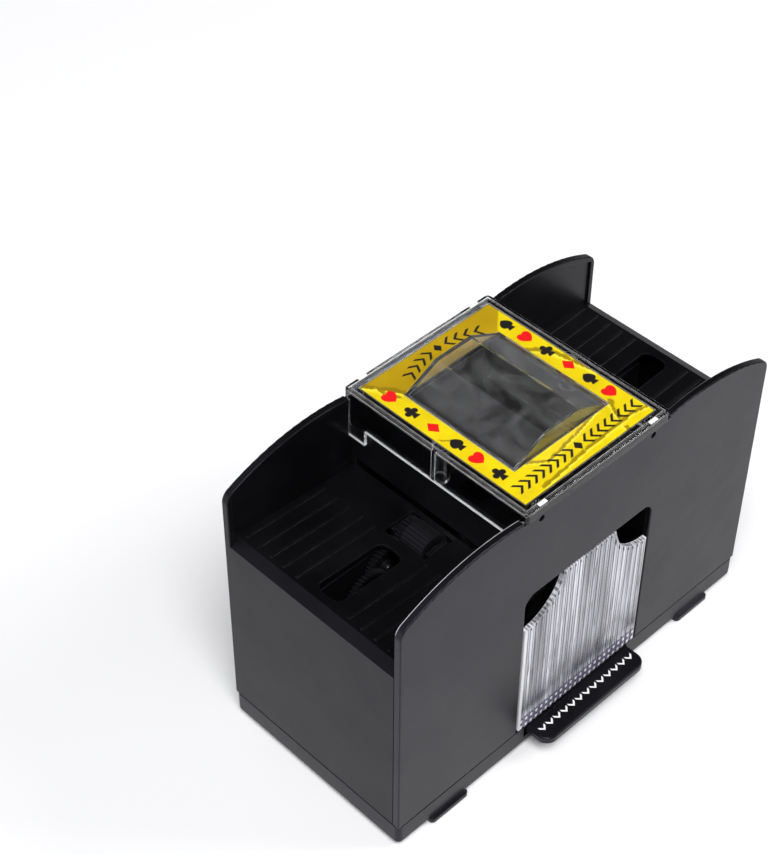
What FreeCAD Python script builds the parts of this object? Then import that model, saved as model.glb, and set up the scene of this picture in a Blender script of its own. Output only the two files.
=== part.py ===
import FreeCAD, Part
import math
import os
import re

# Battery-driven playing card shuffler. Millimetres, +Z up, +X to the right, front towards -Y.
# The origin is the centre of the footprint on the table. Heights are absolute; depths are
# written from the middle of the housing, and every sub-part's Placement adds centre_y.

os.makedirs("parts", exist_ok=True)
doc = FreeCAD.newDocument("card_shuffler")
sheet = doc.addObject("Spreadsheet::Sheet", "dims")

SIZES = {
    # housing
    "body_length": 214, "body_depth": 98.9, "centre_y": 5.525,
    "panel_thick": 2.4, "rim_thick": 3.4, "wall": 2.4, "gap": 0.1,
    "base_bottom": 1.8, "base_top": 13.4, "seam_z": 14.1, "base_round": 2.6, "base_fillet": 2.4,
    "pad_height": 0.8, "foot_inner": 67.2, "foot_outer": 88.8, "foot_back": 51, "foot_width": 9,
    "foot_round": 2, "foot_slope": 1.45,
    # arched top of the front and back panels
    "arch_radius": 104, "arch_x": 58, "arch_top": 145, "shoulder_round": 6,
    "notch_x": 42.3, "notch_z": 142.3, "edge_round": 0.6, "rim_round": 0.5,
    "window_x": 37.9, "window_z": 98, "window_round": 5.5,
    "snap_x": 32.5, "snap_z": 140.2, "snap_radius": 1.65,
    # hoppers
    "end_top": 106, "crest_x": 102.1, "crest_z": 108.4, "lip_z": 105, "lip_x": 40.4,
    "bay_wall_x": 38.6, "tray_thick": 1.6,
    "rib_first": 14.7, "rib_pitch": 7.3, "rib_width": 1, "rib_height": 0.5,
    "rib_inner": 58, "rib_outer": 100.5,
    "slot_inner": 62.1, "slot_outer": 98.2, "slot_half": 6.5, "slot_round": 4,
    "well_inner": 40.4, "well_outer": 57, "well_back": 10.7, "well_front": 12,
    "post_far": 96, "post_near": 50, "post_y": 40.5, "post_radius": 3.5,
    "gate_x": 38.2, "gate_thick": 1.8, "gate_top": 128.8, "throat_top": 111, "throat_y": 44.6,
    # clear cover and label
    "cover_x": 41.6, "cover_y": 49.7, "cover_top": 147.5, "cover_thick": 1.8,
    "skirt": 1.5, "skirt_z": 130.7, "leg_z": 123.2, "leg_width": 9, "leg_y": 46.85,
    "dome_x": 27.2, "dome_top_x": 10, "dome_y": 29.7, "dome_height": 8.5, "dome_wall": 1.3,
    "boss_x": 36.1, "boss_radius": 4.1, "boss_wall": 1.2, "boss_z": 129.4,
    "label_x": 37, "label_y": 44.75, "label_thick": 0.2, "label_round": 3, "recess": 0.3,
    # output tray
    "drawer_x": 37, "drawer_side": 1.6, "drawer_floor": 15.2, "drawer_front": 49.9,
    "drawer_low": 14.4, "drawer_corner_z": 78, "horn_x": 15.5, "horn_z": 97.5,
    "scoop_radius": 21.6, "flute_count": 24, "flute_depth": 0.55, "front_thick": 2.5,
    "drawer_side_z": 46, "drawer_back": 45.5, "drawer_back_z": 24,
    # operate button, its pivot, springs and switch
    "button_x": 32, "button_reach": 12.6, "button_low": 10.3, "button_top": 13.5,
    "button_round": 5.5, "arm_x": 28.5, "pivot_y": -12, "pivot_z": 9.5, "pivot_radius": 1.25,
    "knuckle_radius": 2.6, "spring_x": 18, "spring_y": -30, "switch_y": -33,
    # battery bay and door
    "bay_inner": 44, "bay_outer": 102.4, "bay_y": 27.2, "bay_top": 18.8, "bay_wall": 1.6,
    "door_thick": 1.8, "door_axis_x": 100.9, "door_axis_z": 2.9,
    # card feed
    "roller_x": 48.3, "roller_z": 102.3, "roller_radius": 7.5, "roller_front": -8.5,
    "roller_back": 3.5, "hub_radius": 5, "shaft_radius": 1.5, "bush_radius": 2.08,
    "gear_module": 0.6, "roller_teeth": 22, "transfer_teeth": 32, "small_teeth": 14,
    "big_teeth": 38, "pinion_teeth": 10,
    "transfer_angle": -37.2, "compound_angle": -19.5, "motor_angle": -45,
    "gear_y": 4.2, "gear_width": 3, "big_y": 1, "big_width": 2.4, "pin_radius": 1,
    "plate_y": 8, "plate_thick": 2, "ear_y": -11.3, "ear_top": 105.1,
    "motor_radius": 10, "motor_flat": 7.6, "motor_length": 22,
}
for row, (alias, size) in enumerate(SIZES.items(), start=1):
    sheet.set(f"A{row}", alias)
    sheet.set(f"B{row}", str(size))
    sheet.setAlias(f"B{row}", alias)
doc.recompute()

PRESSURE_ANGLE = math.radians(25)
ADDENDUM = 0.8       # of the module
DEDENDUM = 1.15      # of the module
BACKLASH = 0.06      # taken off each tooth flank pair, mm
SIDES = {"left": -1, "right": 1}

HALF_L = "body_length/2"
HALF_D = "body_depth/2"
FLOOR = "base_bottom + wall"
INNER_Y = "body_depth/2 - panel_thick"
TRAY_SLOPE = "(crest_z - lip_z)/(crest_x - lip_x)"

# Gear centres, as distances outboard (X) and heights (Z), each found from the one before it.
REACH_1 = "gear_module*(roller_teeth + transfer_teeth)/2"
REACH_2 = "gear_module*(transfer_teeth + small_teeth)/2"
REACH_3 = "gear_module*(big_teeth + pinion_teeth)/2"
TRANSFER = (f"roller_x + {REACH_1}*cos(transfer_angle)", f"roller_z + {REACH_1}*sin(transfer_angle)")
COMPOUND = (f"{TRANSFER[0]} + {REACH_2}*cos(compound_angle)",
            f"{TRANSFER[1]} + {REACH_2}*sin(compound_angle)")
MOTOR = (f"{COMPOUND[0]} + {REACH_3}*cos(motor_angle)", f"{COMPOUND[1]} + {REACH_3}*sin(motor_angle)")


# ---------------------------------------------------------------- helpers

def ex(text):
    """The expression with each size's name pointing at its spreadsheet cell."""
    return re.sub(r"\b[a-z]\w*\b(?!\()", r"dims.\g<0>", str(text))


def num(text):
    return float(sheet.evalExpression(ex(text)))


def bind(item, sizes):
    for prop, text in sizes.items():
        item.setExpression(prop, ex(text))
    return item


def flip(side, low, high):
    """A stretch given outboard, turned to the object's left (-1) or right (1) side."""
    if side > 0:
        return low, high
    return f"-({high})", f"-({low})"


def box(name, along_x, along_y, along_z):
    item = doc.addObject("Part::Box", name)
    spans = zip(("Length", "Width", "Height"), ("x", "y", "z"), (along_x, along_y, along_z))
    for prop, letter, (low, high) in spans:
        bind(item, {prop: f"({high}) - ({low})", f"Placement.Base.{letter}": low})
    return item


def cylinder(name, radius, axis, start, end, across):
    """A cylinder along axis from start to end; across holds its other two coordinates."""
    item = doc.addObject("Part::Cylinder", name)
    turn = {"x": ((0, 1, 0), 90), "y": ((1, 0, 0), -90), "z": ((0, 0, 1), 0)}[axis]
    item.Placement.Rotation = FreeCAD.Rotation(FreeCAD.Vector(*turn[0]), turn[1])
    others = [letter for letter in "xyz" if letter != axis]
    bind(item, {"Radius": radius, "Height": f"({end}) - ({start})", f"Placement.Base.{axis}": start})
    for letter, text in zip(others, across):
        bind(item, {f"Placement.Base.{letter}": text})
    return item


def fuse(name, items):
    item = doc.addObject("Part::MultiFuse", name)
    item.Shapes = items
    return item


def cut(name, base, tools):
    item = doc.addObject("Part::Cut", name)
    item.Base = base
    item.Tool = tools[0] if len(tools) == 1 else fuse(name + "_tools", tools)
    return item


def common(name, first, second):
    item = doc.addObject("Part::Common", name)
    item.Base = first
    item.Tool = second
    return item


def rounded(name, base, radius, wanted):
    """Fillets every edge of base whose midpoint and direction the test picks."""
    doc.recompute()
    item = doc.addObject("Part::Fillet", name)
    item.Base = base
    size = num(radius)
    item.Edges = [(index, size, size) for index, edge in enumerate(base.Shape.Edges, start=1)
                  if wanted(middle(edge), direction(edge))]
    return item


def sloped(name, base, size, wanted):
    """Chamfers the edges of base that the test picks."""
    doc.recompute()
    item = doc.addObject("Part::Chamfer", name)
    item.Base = base
    width = num(size)
    item.Edges = [(index, width, width) for index, edge in enumerate(base.Shape.Edges, start=1)
                  if wanted(middle(edge), direction(edge))]
    return item


def middle(edge):
    return edge.valueAt((edge.FirstParameter + edge.LastParameter)/2)


def direction(edge):
    """x, y or z for a straight edge along that axis, else an empty string."""
    if edge.Curve.TypeId != "Part::GeomLine":
        return ""
    run = edge.tangentAt(edge.FirstParameter)
    return "".join(letter for letter in "xyz" if abs(getattr(run, letter)) > 0.999)


def near(value, text):
    return abs(value - num(text)) < 0.01


def finish(item, label):
    """Names the finished sub-part and seats it on the middle of the housing."""
    item.Label = label
    bind(item, {"Placement.Base.y": "centre_y"})
    PARTS.append(item)
    return item


def feature(label, shape):
    item = doc.addObject("Part::Feature", label + "_shape")
    item.Shape = shape
    return finish(item, label)


PARTS = []


# ---------------------------------------------------------------- sketches

def plane_sketch(body, name, role, offset):
    sketch = body.newObject("Sketcher::SketchObject", name)
    plane = next(item for item in body.Origin.OriginFeatures if item.Role == role)
    sketch.AttachmentSupport = [(plane, "")]
    sketch.MapMode = "FlatFace"
    bind(sketch, {"AttachmentOffset.Base.z": offset})
    return sketch


def arc_between(start, end, radius):
    """Arc from start to end: anticlockwise for a positive radius, clockwise for a negative one."""
    chord = end - start
    height = math.sqrt(radius**2 - (chord.Length/2)**2)
    left = FreeCAD.Vector(-chord.y, chord.x, 0).normalize()
    centre = (start + end)/2 + left*math.copysign(height, radius)
    first, last = (start, end) if radius > 0 else (end, start)
    angles = [math.atan2(spot.y - centre.y, spot.x - centre.x) for spot in (first, last)]
    if angles[1] < angles[0]:
        angles[1] += 2*math.pi
    circle = Part.Circle(centre, FreeCAD.Vector(0, 0, 1), abs(radius))
    return Part.ArcOfCircle(circle, angles[0], angles[1])


def draw_loop(sketch, corners):
    """Closed outline. A corner's third item, if any, is the signed radius of the arc that
    runs from it to the next corner. Every corner is held by its own two distances."""
    import Sketcher
    spots = [FreeCAD.Vector(num(corner[0]), num(corner[1]), 0) for corner in corners]
    start_of = []
    end_of = []
    for index, corner in enumerate(corners):
        start, end = spots[index], spots[(index + 1) % len(spots)]
        if len(corner) == 2:
            line = sketch.addGeometry(Part.LineSegment(start, end))
            start_of.append((line, 1))
            end_of.append((line, 2))
            continue
        radius = num(corner[2])
        arc = sketch.addGeometry(arc_between(start, end, radius))
        start_of.append((arc, 1 if radius > 0 else 2))
        end_of.append((arc, 2 if radius > 0 else 1))
        held = sketch.addConstraint(Sketcher.Constraint("Radius", arc, abs(radius)))
        bind(sketch, {f"Constraints[{held}]": f"abs({corner[2]})"})
    for index, corner in enumerate(corners):
        link = end_of[index - 1] + start_of[index]
        sketch.addConstraint(Sketcher.Constraint("Coincident", *link))
        for kind, text, value in (("DistanceX", corner[0], spots[index].x),
                                  ("DistanceY", corner[1], spots[index].y)):
            held = sketch.addConstraint(Sketcher.Constraint(kind, -1, 1, *start_of[index], value))
            bind(sketch, {f"Constraints[{held}]": text})


def pad(body, sketch, length, reverse=False, midplane=False):
    item = body.newObject("PartDesign::Pad", sketch.Name + "_pad")
    item.Profile = sketch
    item.Reversed = reverse
    item.Midplane = midplane
    bind(item, {"Length": length})
    sketch.Visibility = False
    return item


def pocket(body, sketch, length, reverse=False):
    """A pocket that must remove material, so the volume is compared before and after."""
    doc.recompute()
    before = body.Shape.Volume
    item = body.newObject("PartDesign::Pocket", sketch.Name + "_pocket")
    item.Profile = sketch
    item.Reversed = reverse
    bind(item, {"Length": length})
    doc.recompute()
    if body.Shape.Volume > before - 1:
        raise ValueError(f"{sketch.Name} cuts nothing")
    return item


def body_fillet(body, name, radius, wanted):
    doc.recompute()
    base = body.Tip
    item = body.newObject("PartDesign::Fillet", name)
    picked = [f"Edge{index}" for index, edge in enumerate(base.Shape.Edges, start=1)
              if wanted(middle(edge), direction(edge))]
    item.Base = (base, picked)
    bind(item, {"Radius": radius})
    return item


def prism(name, corners, low, high):
    """A body: the XZ outline drawn out along Y from low to high."""
    body = doc.addObject("PartDesign::Body", name)
    sketch = plane_sketch(body, name + "_outline", "XZ_Plane", f"-({high})")
    draw_loop(sketch, corners)
    pad(body, sketch, f"({high}) - ({low})")
    return body


# ---------------------------------------------------------------- base

def base_tray():
    """Shallow tray under the whole machine: feet, drawer rails, pivot lugs and battery bay."""
    block = box("base_block", (f"-{HALF_L}", HALF_L), (f"-{HALF_D}", HALF_D), ("base_bottom", "base_top"))
    corners = rounded("base_corners", block, "base_round", lambda spot, run: run == "z")
    lip = rounded("base_lip", corners, "0.3", lambda spot, run: near(spot.z, "base_top"))
    shell = rounded("base_shell", lip, "base_fillet", lambda spot, run: near(spot.z, "base_bottom"))
    hollow = box("base_hollow", (f"wall - {HALF_L}", f"{HALF_L} - wall"),
                 (f"wall - {HALF_D}", f"{HALF_D} - wall"), (FLOOR, "base_top + 1"))
    solids = [cut("base_open", shell, [hollow])]
    for side in (-1, 1):
        for depth in (-1, 1):
            tag = f"{side}_{depth}".replace("-", "m")
            foot = box("foot_block_" + tag, flip(side, "foot_inner", "foot_outer"),
                       flip(depth, "foot_back - foot_width", "foot_back"), ("pad_height", FLOOR))
            ends = rounded("foot_ends_" + tag, foot, "foot_round",
                           lambda spot, run: run == "z" and near(abs(spot.y), "foot_back"))
            solids.append(sloped("foot_" + tag, ends, "foot_slope",
                                 lambda spot, run: near(abs(spot.y), "foot_back") and near(spot.z, FLOOR)))
            for spot in ("post_far", "post_near"):
                solids.append(cylinder(f"boss_{spot}_{tag}", "post_radius + 1", "z", "base_bottom + 1",
                                       f"{FLOOR} + 2", (f"{side}*{spot}", f"{depth}*post_y")))
        solids.append(box(f"rail_{side + 1}", flip(side, "button_x + 2", "button_x + 4"),
                          (f"-({INNER_Y})", "46"), (f"{FLOOR} - 1", "drawer_floor - 0.2")))
        solids.append(box(f"lug_{side + 1}", flip(side, "arm_x + 0.4", "button_x + 2.5"),
                          ("pivot_y - 3", "pivot_y + 3"), (f"{FLOOR} - 1", "pivot_z + 2.7")))
        solids.append(cylinder(f"spring_seat_{side + 1}", "1.7", "z", f"{FLOOR} - 1", f"{FLOOR} + 1.4",
                               (f"{side}*spring_x", "spring_y")))
    solids.append(box("bay_block", ("bay_inner - bay_wall", "bay_outer + bay_wall"),
                      ("-bay_y - bay_wall", "bay_y + bay_wall"), (f"{FLOOR} - 1", "bay_top + bay_wall")))
    openings = [box("bay_hollow", ("bay_inner", "bay_outer"), ("-bay_y", "bay_y"), ("base_bottom - 1", "bay_top")),
                box("button_gate", ("-button_x - 0.9", "button_x + 0.9"), (f"-{HALF_D} - 1", f"wall - {HALF_D} + 0.2"),
                    ("button_low - 3.7", "base_top + 1")),
                cylinder("pivot_hole", "pivot_radius + 0.02", "x", "-button_x - 2", "button_x + 2",
                         ("pivot_y", "pivot_z")),
                cylinder("door_pin_hole", "0.75", "y", "-bay_y - 1.2", "bay_y + 1.2",
                         ("door_axis_x", "door_axis_z"))]
    for side in (-1, 1):
        for depth in (-1, 1):
            for spot in ("post_far", "post_near"):
                tag = f"{spot}_{side + 1}_{depth + 1}"
                centre = (f"{side}*{spot}", f"{depth}*post_y")
                openings.append(cylinder("head_room_" + tag, "3.2", "z", "base_bottom - 1", "base_bottom + 1.7",
                                         centre))
                openings.append(cylinder("screw_way_" + tag, "1.6", "z", "base_bottom", f"{FLOOR} + 3", centre))
    finish(cut("base_body", fuse("base_solids", solids), openings), "base_tray")


def foot_pads():
    pads = []
    for side in (-1, 1):
        for depth in (-1, 1):
            pads.append(box(f"pad_{side + 1}_{depth + 1}", flip(side, "foot_inner + 1", "foot_outer - 1"),
                            flip(depth, "foot_back - foot_width + 1", "foot_back - 1"),
                            ("0", "pad_height")))
    joined = fuse("pad_group", pads)
    finish(rounded("pads_rounded", joined, "2", lambda spot, run: run == "z"), "foot_pads")


def base_screws():
    """Eight self-tapping screws up through the base into the hoppers' posts."""
    screws = []
    for side in (-1, 1):
        for depth in (-1, 1):
            for spot in ("post_far", "post_near"):
                tag = f"{spot}_{side + 1}_{depth + 1}"
                centre = (f"{side}*{spot}", f"{depth}*post_y")
                head = cylinder("head_" + tag, "2.8", "z", "base_bottom + 0.1", "base_bottom + 1.7", centre)
                shank = cylinder("shank_" + tag, "1.2", "z", "base_bottom + 1", "base_bottom + 16", centre)
                recess = box("drive_" + tag, (f"{centre[0]} - 1.6", f"{centre[0]} + 1.6"),
                             (f"{centre[1]} - 0.35", f"{centre[1]} + 0.35"),
                             ("base_bottom", "base_bottom + 0.8"))
                cross = box("cross_" + tag, (f"{centre[0]} - 0.35", f"{centre[0]} + 0.35"),
                            (f"{centre[1]} - 1.6", f"{centre[1]} + 1.6"),
                            ("base_bottom", "base_bottom + 0.8"))
                screws.append(cut("screw_" + tag, fuse("screw_blank_" + tag, [head, shank]), [recess, cross]))
    finish(fuse("base_screw_group", screws), "base_screws")


# ---------------------------------------------------------------- front and back panels

def arch_z(where, shrink="0"):
    """Height of the arch, shrunk towards its centre, at an outboard distance."""
    radius = f"(arch_radius - {shrink})"
    return f"arch_top - arch_radius + sqrt({radius}*{radius} - ({where} - arch_x)*({where} - arch_x))"


def panel(label, side):
    """Moulded plate with an arched top: thick at its rim, thinner inside, open under the cover."""
    body = doc.addObject("PartDesign::Body", label + "_body")
    face = f"{-side}*{HALF_D}"
    outline = plane_sketch(body, label + "_outline", "XZ_Plane", face)
    side_x = HALF_L if side < 0 else f"({HALF_L} - wall - gap)"
    corners = [(f"-{side_x}", "seam_z"), (side_x, "seam_z")]
    if side > 0:
        corners += [(side_x, "end_top + gap"), (HALF_L, "end_top + gap")]
    corners += [
        (HALF_L, arch_z(HALF_L), "arch_radius"), ("notch_x", arch_z("notch_x")),
        ("notch_x", "notch_z"), ("-notch_x", "notch_z"),
        ("-notch_x", arch_z("notch_x"), "arch_radius"), (f"-{HALF_L}", arch_z(HALF_L))]
    if side > 0:
        corners += [(f"-{HALF_L}", "end_top + gap"), (f"-{side_x}", "end_top + gap")]
    draw_loop(outline, corners)
    pad(body, outline, "rim_thick", reverse=side < 0)
    inset = plane_sketch(body, label + "_inset", "XZ_Plane", f"{-side}*({HALF_D} - rim_thick)")
    inner_x = f"{HALF_L} - wall"
    draw_loop(inset, [
        (f"wall - {HALF_L}", "seam_z - 1"), (inner_x, "seam_z - 1"),
        (inner_x, arch_z(inner_x, "wall"), "arch_radius - wall"), ("notch_x", arch_z("notch_x", "wall")),
        ("notch_x", "notch_z + 5"), ("-notch_x", "notch_z + 5"),
        ("-notch_x", arch_z("notch_x", "wall"), "arch_radius - wall"),
        (f"wall - {HALF_L}", arch_z(inner_x, "wall"))])
    pocket(body, inset, "rim_thick - panel_thick", reverse=side < 0)
    if side < 0:
        window = plane_sketch(body, label + "_window", "XZ_Plane", face)
        draw_loop(window, [
            ("-window_x", "seam_z - 1"), ("window_x", "seam_z - 1"),
            ("window_x", "window_z - window_round", "window_round"),
            ("window_x - window_round", "window_z"), ("window_round - window_x", "window_z", "window_round"),
            ("-window_x", "window_z - window_round")])
        pocket(body, window, "rim_thick")
    snaps = plane_sketch(body, label + "_snaps", "XZ_Plane", f"{-side}*({HALF_D} + 1)")
    for place in (-1, 1):
        draw_circle(snaps, f"{place}*snap_x", "snap_z", "snap_radius")
    pocket(body, snaps, "rim_thick + 2", reverse=side > 0)
    body_fillet(body, label + "_shoulders", "shoulder_round",
                lambda spot, run: run == "y" and near(abs(spot.x), HALF_L) and spot.z > 120)
    body_fillet(body, label + "_edges", "edge_round",
                lambda spot, run: near(abs(spot.y), HALF_D) and spot.z > num("seam_z") + 1
                and abs(spot.z - num("snap_z")) > num("snap_radius") + 0.5
                and (side < 0 or not near(abs(spot.x), side_x) and not near(spot.z, "end_top + gap")))
    body_fillet(body, label + "_rim_edges", "rim_round",
                lambda spot, run: near(abs(spot.y), f"{HALF_D} - rim_thick")
                and near(spot.z, arch_z(str(abs(spot.x)))))
    doc.recompute()
    finish(body, label)


def draw_circle(sketch, across, up, radius):
    import Sketcher
    centre = FreeCAD.Vector(num(across), num(up), 0)
    ring = sketch.addGeometry(Part.Circle(centre, FreeCAD.Vector(0, 0, 1), num(radius)))
    for kind, text, value in (("DistanceX", across, centre.x), ("DistanceY", up, centre.y)):
        held = sketch.addConstraint(Sketcher.Constraint(kind, -1, 1, ring, 3, value))
        bind(sketch, {f"Constraints[{held}]": text})
    held = sketch.addConstraint(Sketcher.Constraint("Radius", ring, num(radius)))
    bind(sketch, {f"Constraints[{held}]": radius})


# ---------------------------------------------------------------- hoppers

def tray_z(where):
    return f"lip_z + {TRAY_SLOPE}*({where} - lip_x)"


def hopper(label, side):
    """End wall, sloping ribbed card tray and bay wall, moulded in one, with the screw posts."""
    def out(text):
        return f"{side}*({text})"

    seam_x = f"{HALF_L} - wall - 0.2"
    band_z = f"crest_z - (crest_z - end_top)*({seam_x} - crest_x)/({HALF_L} - crest_x)"
    tray = prism(label + "_tray_section", [
        (out("bay_wall_x"), FLOOR), (out("bay_wall_x"), "lip_z"), (out("lip_x"), "lip_z"),
        (out("crest_x"), "crest_z"), (out(seam_x), band_z), (out(seam_x), "end_top - tray_thick"),
        (out("crest_x - 1"), f"{tray_z('crest_x - 1')} - tray_thick"),
        (out("lip_x"), "lip_z - tray_thick"), (out("lip_x"), FLOOR)],
        f"gap - ({INNER_Y})", f"{INNER_Y} - gap")
    edge_y = f"{HALF_D} - rim_thick - gap"
    end = prism(label + "_end_section", [
        (out(seam_x), band_z), (out(HALF_L), "end_top"), (out(HALF_L), "seam_z"),
        (out(f"{HALF_L} - wall"), "seam_z"), (out(f"{HALF_L} - wall"), "end_top - tray_thick"),
        (out(seam_x), "end_top - tray_thick")], f"-({edge_y})", edge_y)
    strip = box(label + "_rear_strip", flip(side, f"{HALF_L} - wall", HALF_L), (f"{edge_y} - 1", HALF_D),
                ("seam_z", "end_top"))
    solids = [tray, end, rounded(label + "_rear_corner", strip, "edge_round", lambda spot, run: run == "z"
                                 and near(abs(spot.x), HALF_L) and near(spot.y, HALF_D))]
    for depth in (-1, 1):
        for spot in ("post_far", "post_near"):
            solids.append(cylinder(f"{label}_{spot}_{depth + 1}", "post_radius", "z", f"{FLOOR} + 2",
                                   f"{tray_z(spot)} - 0.8", (out(spot), f"{depth}*post_y")))
        for count in range(5):
            middle_y = f"{depth}*(rib_first + {count}*rib_pitch)"
            solids.append(rib(f"{label}_rib_{depth + 1}_{count}", side, middle_y))
    for name, along, depth in (("outer", "94", "20"), ("inner", "64", "26")):
        solids.append(cylinder(f"{label}_hanger_{name}", "3", "z", "101", f"{tray_z(along)} - 0.8",
                               (out(along), depth)))
    blank = fuse(label + "_blank", solids)
    slot = box(label + "_slot", flip(side, "slot_inner", "slot_outer"), ("-slot_half", "slot_half"),
               ("90", "120"))
    openings = [rounded(label + "_slot_round", slot, "slot_round", lambda spot, run: run == "z"),
                box(label + "_well", flip(side, "well_inner", "well_outer"), ("-well_front", "well_back"),
                    ("92", "120"))]
    for depth in (-1, 1):
        for spot in ("post_far", "post_near"):
            openings.append(cylinder(f"{label}_pilot_{spot}_{depth + 1}", "1.25", "z", FLOOR,
                                     "base_bottom + 17", (out(spot), f"{depth}*post_y")))
    for name, along, depth in (("outer", "94", "20"), ("inner", "64", "26")):
        openings.append(cylinder(f"{label}_hang_hole_{name}", "1.05", "z", "100",
                                 f"{tray_z(along)} - 1.5", (out(along), depth)))
    finish(cut(label + "_cut", blank, openings), label)


def rib(name, side, middle_y):
    """A low rib along the sloping tray, lying on its surface and rounded at its top."""
    item = doc.addObject("Part::Box", name)
    run = f"((rib_outer - rib_inner)/cos(atan({TRAY_SLOPE})))"
    bind(item, {"Length": run, "Width": "rib_width", "Height": "rib_height + 0.5",
                "Placement.Base.y": f"{middle_y} - rib_width/2"})
    slope = math.degrees(math.atan(num(TRAY_SLOPE)))
    item.Placement.Rotation = FreeCAD.Rotation(FreeCAD.Vector(0, 1, 0), -slope*side)
    start = "rib_inner" if side > 0 else "rib_outer"
    bind(item, {"Placement.Base.x": f"{side}*({start})", "Placement.Base.z": f"{tray_z(start)} - 0.5"})
    return item


def card_gate(label, side):
    """Upright gate over the roller's inner side; cards leave one by one through its throat."""
    plate = box(label + "_plate", flip(side, "gate_x", "gate_x + gate_thick"),
                (f"gap - ({INNER_Y})", f"{INNER_Y} - gap"), ("lip_z", "gate_top"))
    lip = box(label + "_lip", flip(side, "gate_x - 1.6", "gate_x + 1"),
              (f"gap - ({INNER_Y})", f"{INNER_Y} - gap"), ("gate_top - 1.8", "gate_top"))
    throat = box(label + "_throat", flip(side, "gate_x - 1", "gate_x + gate_thick + 1"),
                 ("-throat_y", "throat_y"), ("lip_z - 1", "throat_top"))
    finish(cut(label + "_cut", fuse(label + "_blank", [plate, lip]), [throat]), label)


# ---------------------------------------------------------------- clear cover and its label

def top_cover():
    """Clear plate with a hollow raised prism, skirts, corner legs, side bosses and snap tongues."""
    plate_low = "cover_top - cover_thick"
    block = box("cover_block", ("-cover_x", "cover_x"), ("-cover_y", "cover_y"), ("notch_z + gap", "cover_top"))
    corners = rounded("cover_corners", block, "2", lambda spot, run: run == "z")
    brim = rounded("cover_brim", corners, "0.5", lambda spot, run: near(spot.z, "cover_top"))
    hollow = box("cover_hollow", ("skirt - cover_x", "cover_x - skirt"), ("skirt - cover_y", "cover_y - skirt"),
                 ("notch_z - 1", plate_low))
    solids = [cut("cover_plate", brim, [hollow]), dome("dome_outer", "0", "dome_y", plate_low)]
    for side in (-1, 1):
        sheet_x = flip(side, "cover_x - skirt", "cover_x")
        solids.append(box(f"side_skirt_{side + 1}", sheet_x, ("-leg_y", "leg_y"), ("skirt_z", plate_low)))
        solids.append(cylinder(f"side_boss_{side + 1}", "boss_radius", "z", "boss_z", f"{plate_low} + 0.5",
                               (f"{side}*boss_x", "0")))
        for depth in (-1, 1):
            tag = f"{side + 1}_{depth + 1}"
            solids.append(box("leg_" + tag, sheet_x, flip(depth, "leg_y - leg_width", "leg_y"),
                              ("leg_z", "skirt_z + 1")))
            solids.append(box("tongue_" + tag, flip(side, "snap_x - 2", "snap_x + 2"),
                              flip(depth, "leg_y - 1.4", "leg_y"), ("snap_z - 2.6", f"{plate_low} + 0.5")))
            solids.append(box("gate_mark_" + tag, flip(side, "snap_x - 2.6", "snap_x + 1.6"),
                              flip(depth, "cover_y - 1.9", "cover_y - 0.3"),
                              ("cover_top - 0.5", "cover_top + 0.35")))
    groove_out = box("groove_outer", ("1.5 - cover_x", "cover_x - 1.5"), ("1.5 - cover_y", "cover_y - 1.5"),
                     ("cover_top - 0.45", "cover_top + 0.1"))
    groove_in = box("groove_inner", ("2.3 - cover_x", "cover_x - 2.3"), ("2.3 - cover_y", "cover_y - 2.3"),
                    ("cover_top - 1", "cover_top + 1"))
    recess = box("label_recess", ("-label_x - 0.5", "label_x + 0.5"), ("-label_y - 0.5", "label_y + 0.5"),
                 ("cover_top - recess", "cover_top + 0.2"))
    recess_ring = cut("recess_ring", recess, [box("dome_keep", ("-dome_x", "dome_x"), ("-dome_y", "dome_y"),
                                                  ("cover_top - 1", "cover_top + 1"))])
    openings = [cut("groove_ring", groove_out, [groove_in]), recess_ring,
                dome("dome_inner", "dome_wall", "dome_y - dome_wall", f"{plate_low} - 1")]
    for side in (-1, 1):
        openings.append(cylinder(f"boss_bore_{side + 1}", "boss_radius - boss_wall", "z", "boss_z - 1",
                                 plate_low, (f"{side}*boss_x", "0")))
    finish(cut("cover_body", fuse("cover_solids", solids), openings), "top_cover")


def dome(name, inset, half_depth, low):
    """The raised prism's section: sloped sides and a flat top, inset by a wall thickness."""
    top = f"cover_top + dome_height - {inset}"
    return prism(name, [
        (f"{inset} - dome_x", low), (f"dome_x - {inset}", low), (f"dome_x - {inset}", f"cover_top - recess"),
        (f"dome_top_x - {inset}/3", top), (f"{inset}/3 - dome_top_x", top),
        (f"{inset} - dome_x", f"cover_top - recess")], f"-({half_depth})", half_depth)


def cover_label():
    """Foil label in the plate's recess, with a window for the raised prism."""
    low = "cover_top - recess"
    blank = box("label_blank", ("-label_x", "label_x"), ("-label_y", "label_y"), (low, f"{low} + label_thick"))
    card = rounded("label_card", blank, "label_round", lambda spot, run: run == "z")
    window = box("label_window", ("-dome_x - 0.3", "dome_x + 0.3"), ("-dome_y - 0.3", "dome_y + 0.3"),
                 (f"{low} - 1", f"{low} + 1"))
    finish(cut("label_cut", card, [window]), "cover_label")


# ---------------------------------------------------------------- output tray

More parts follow.
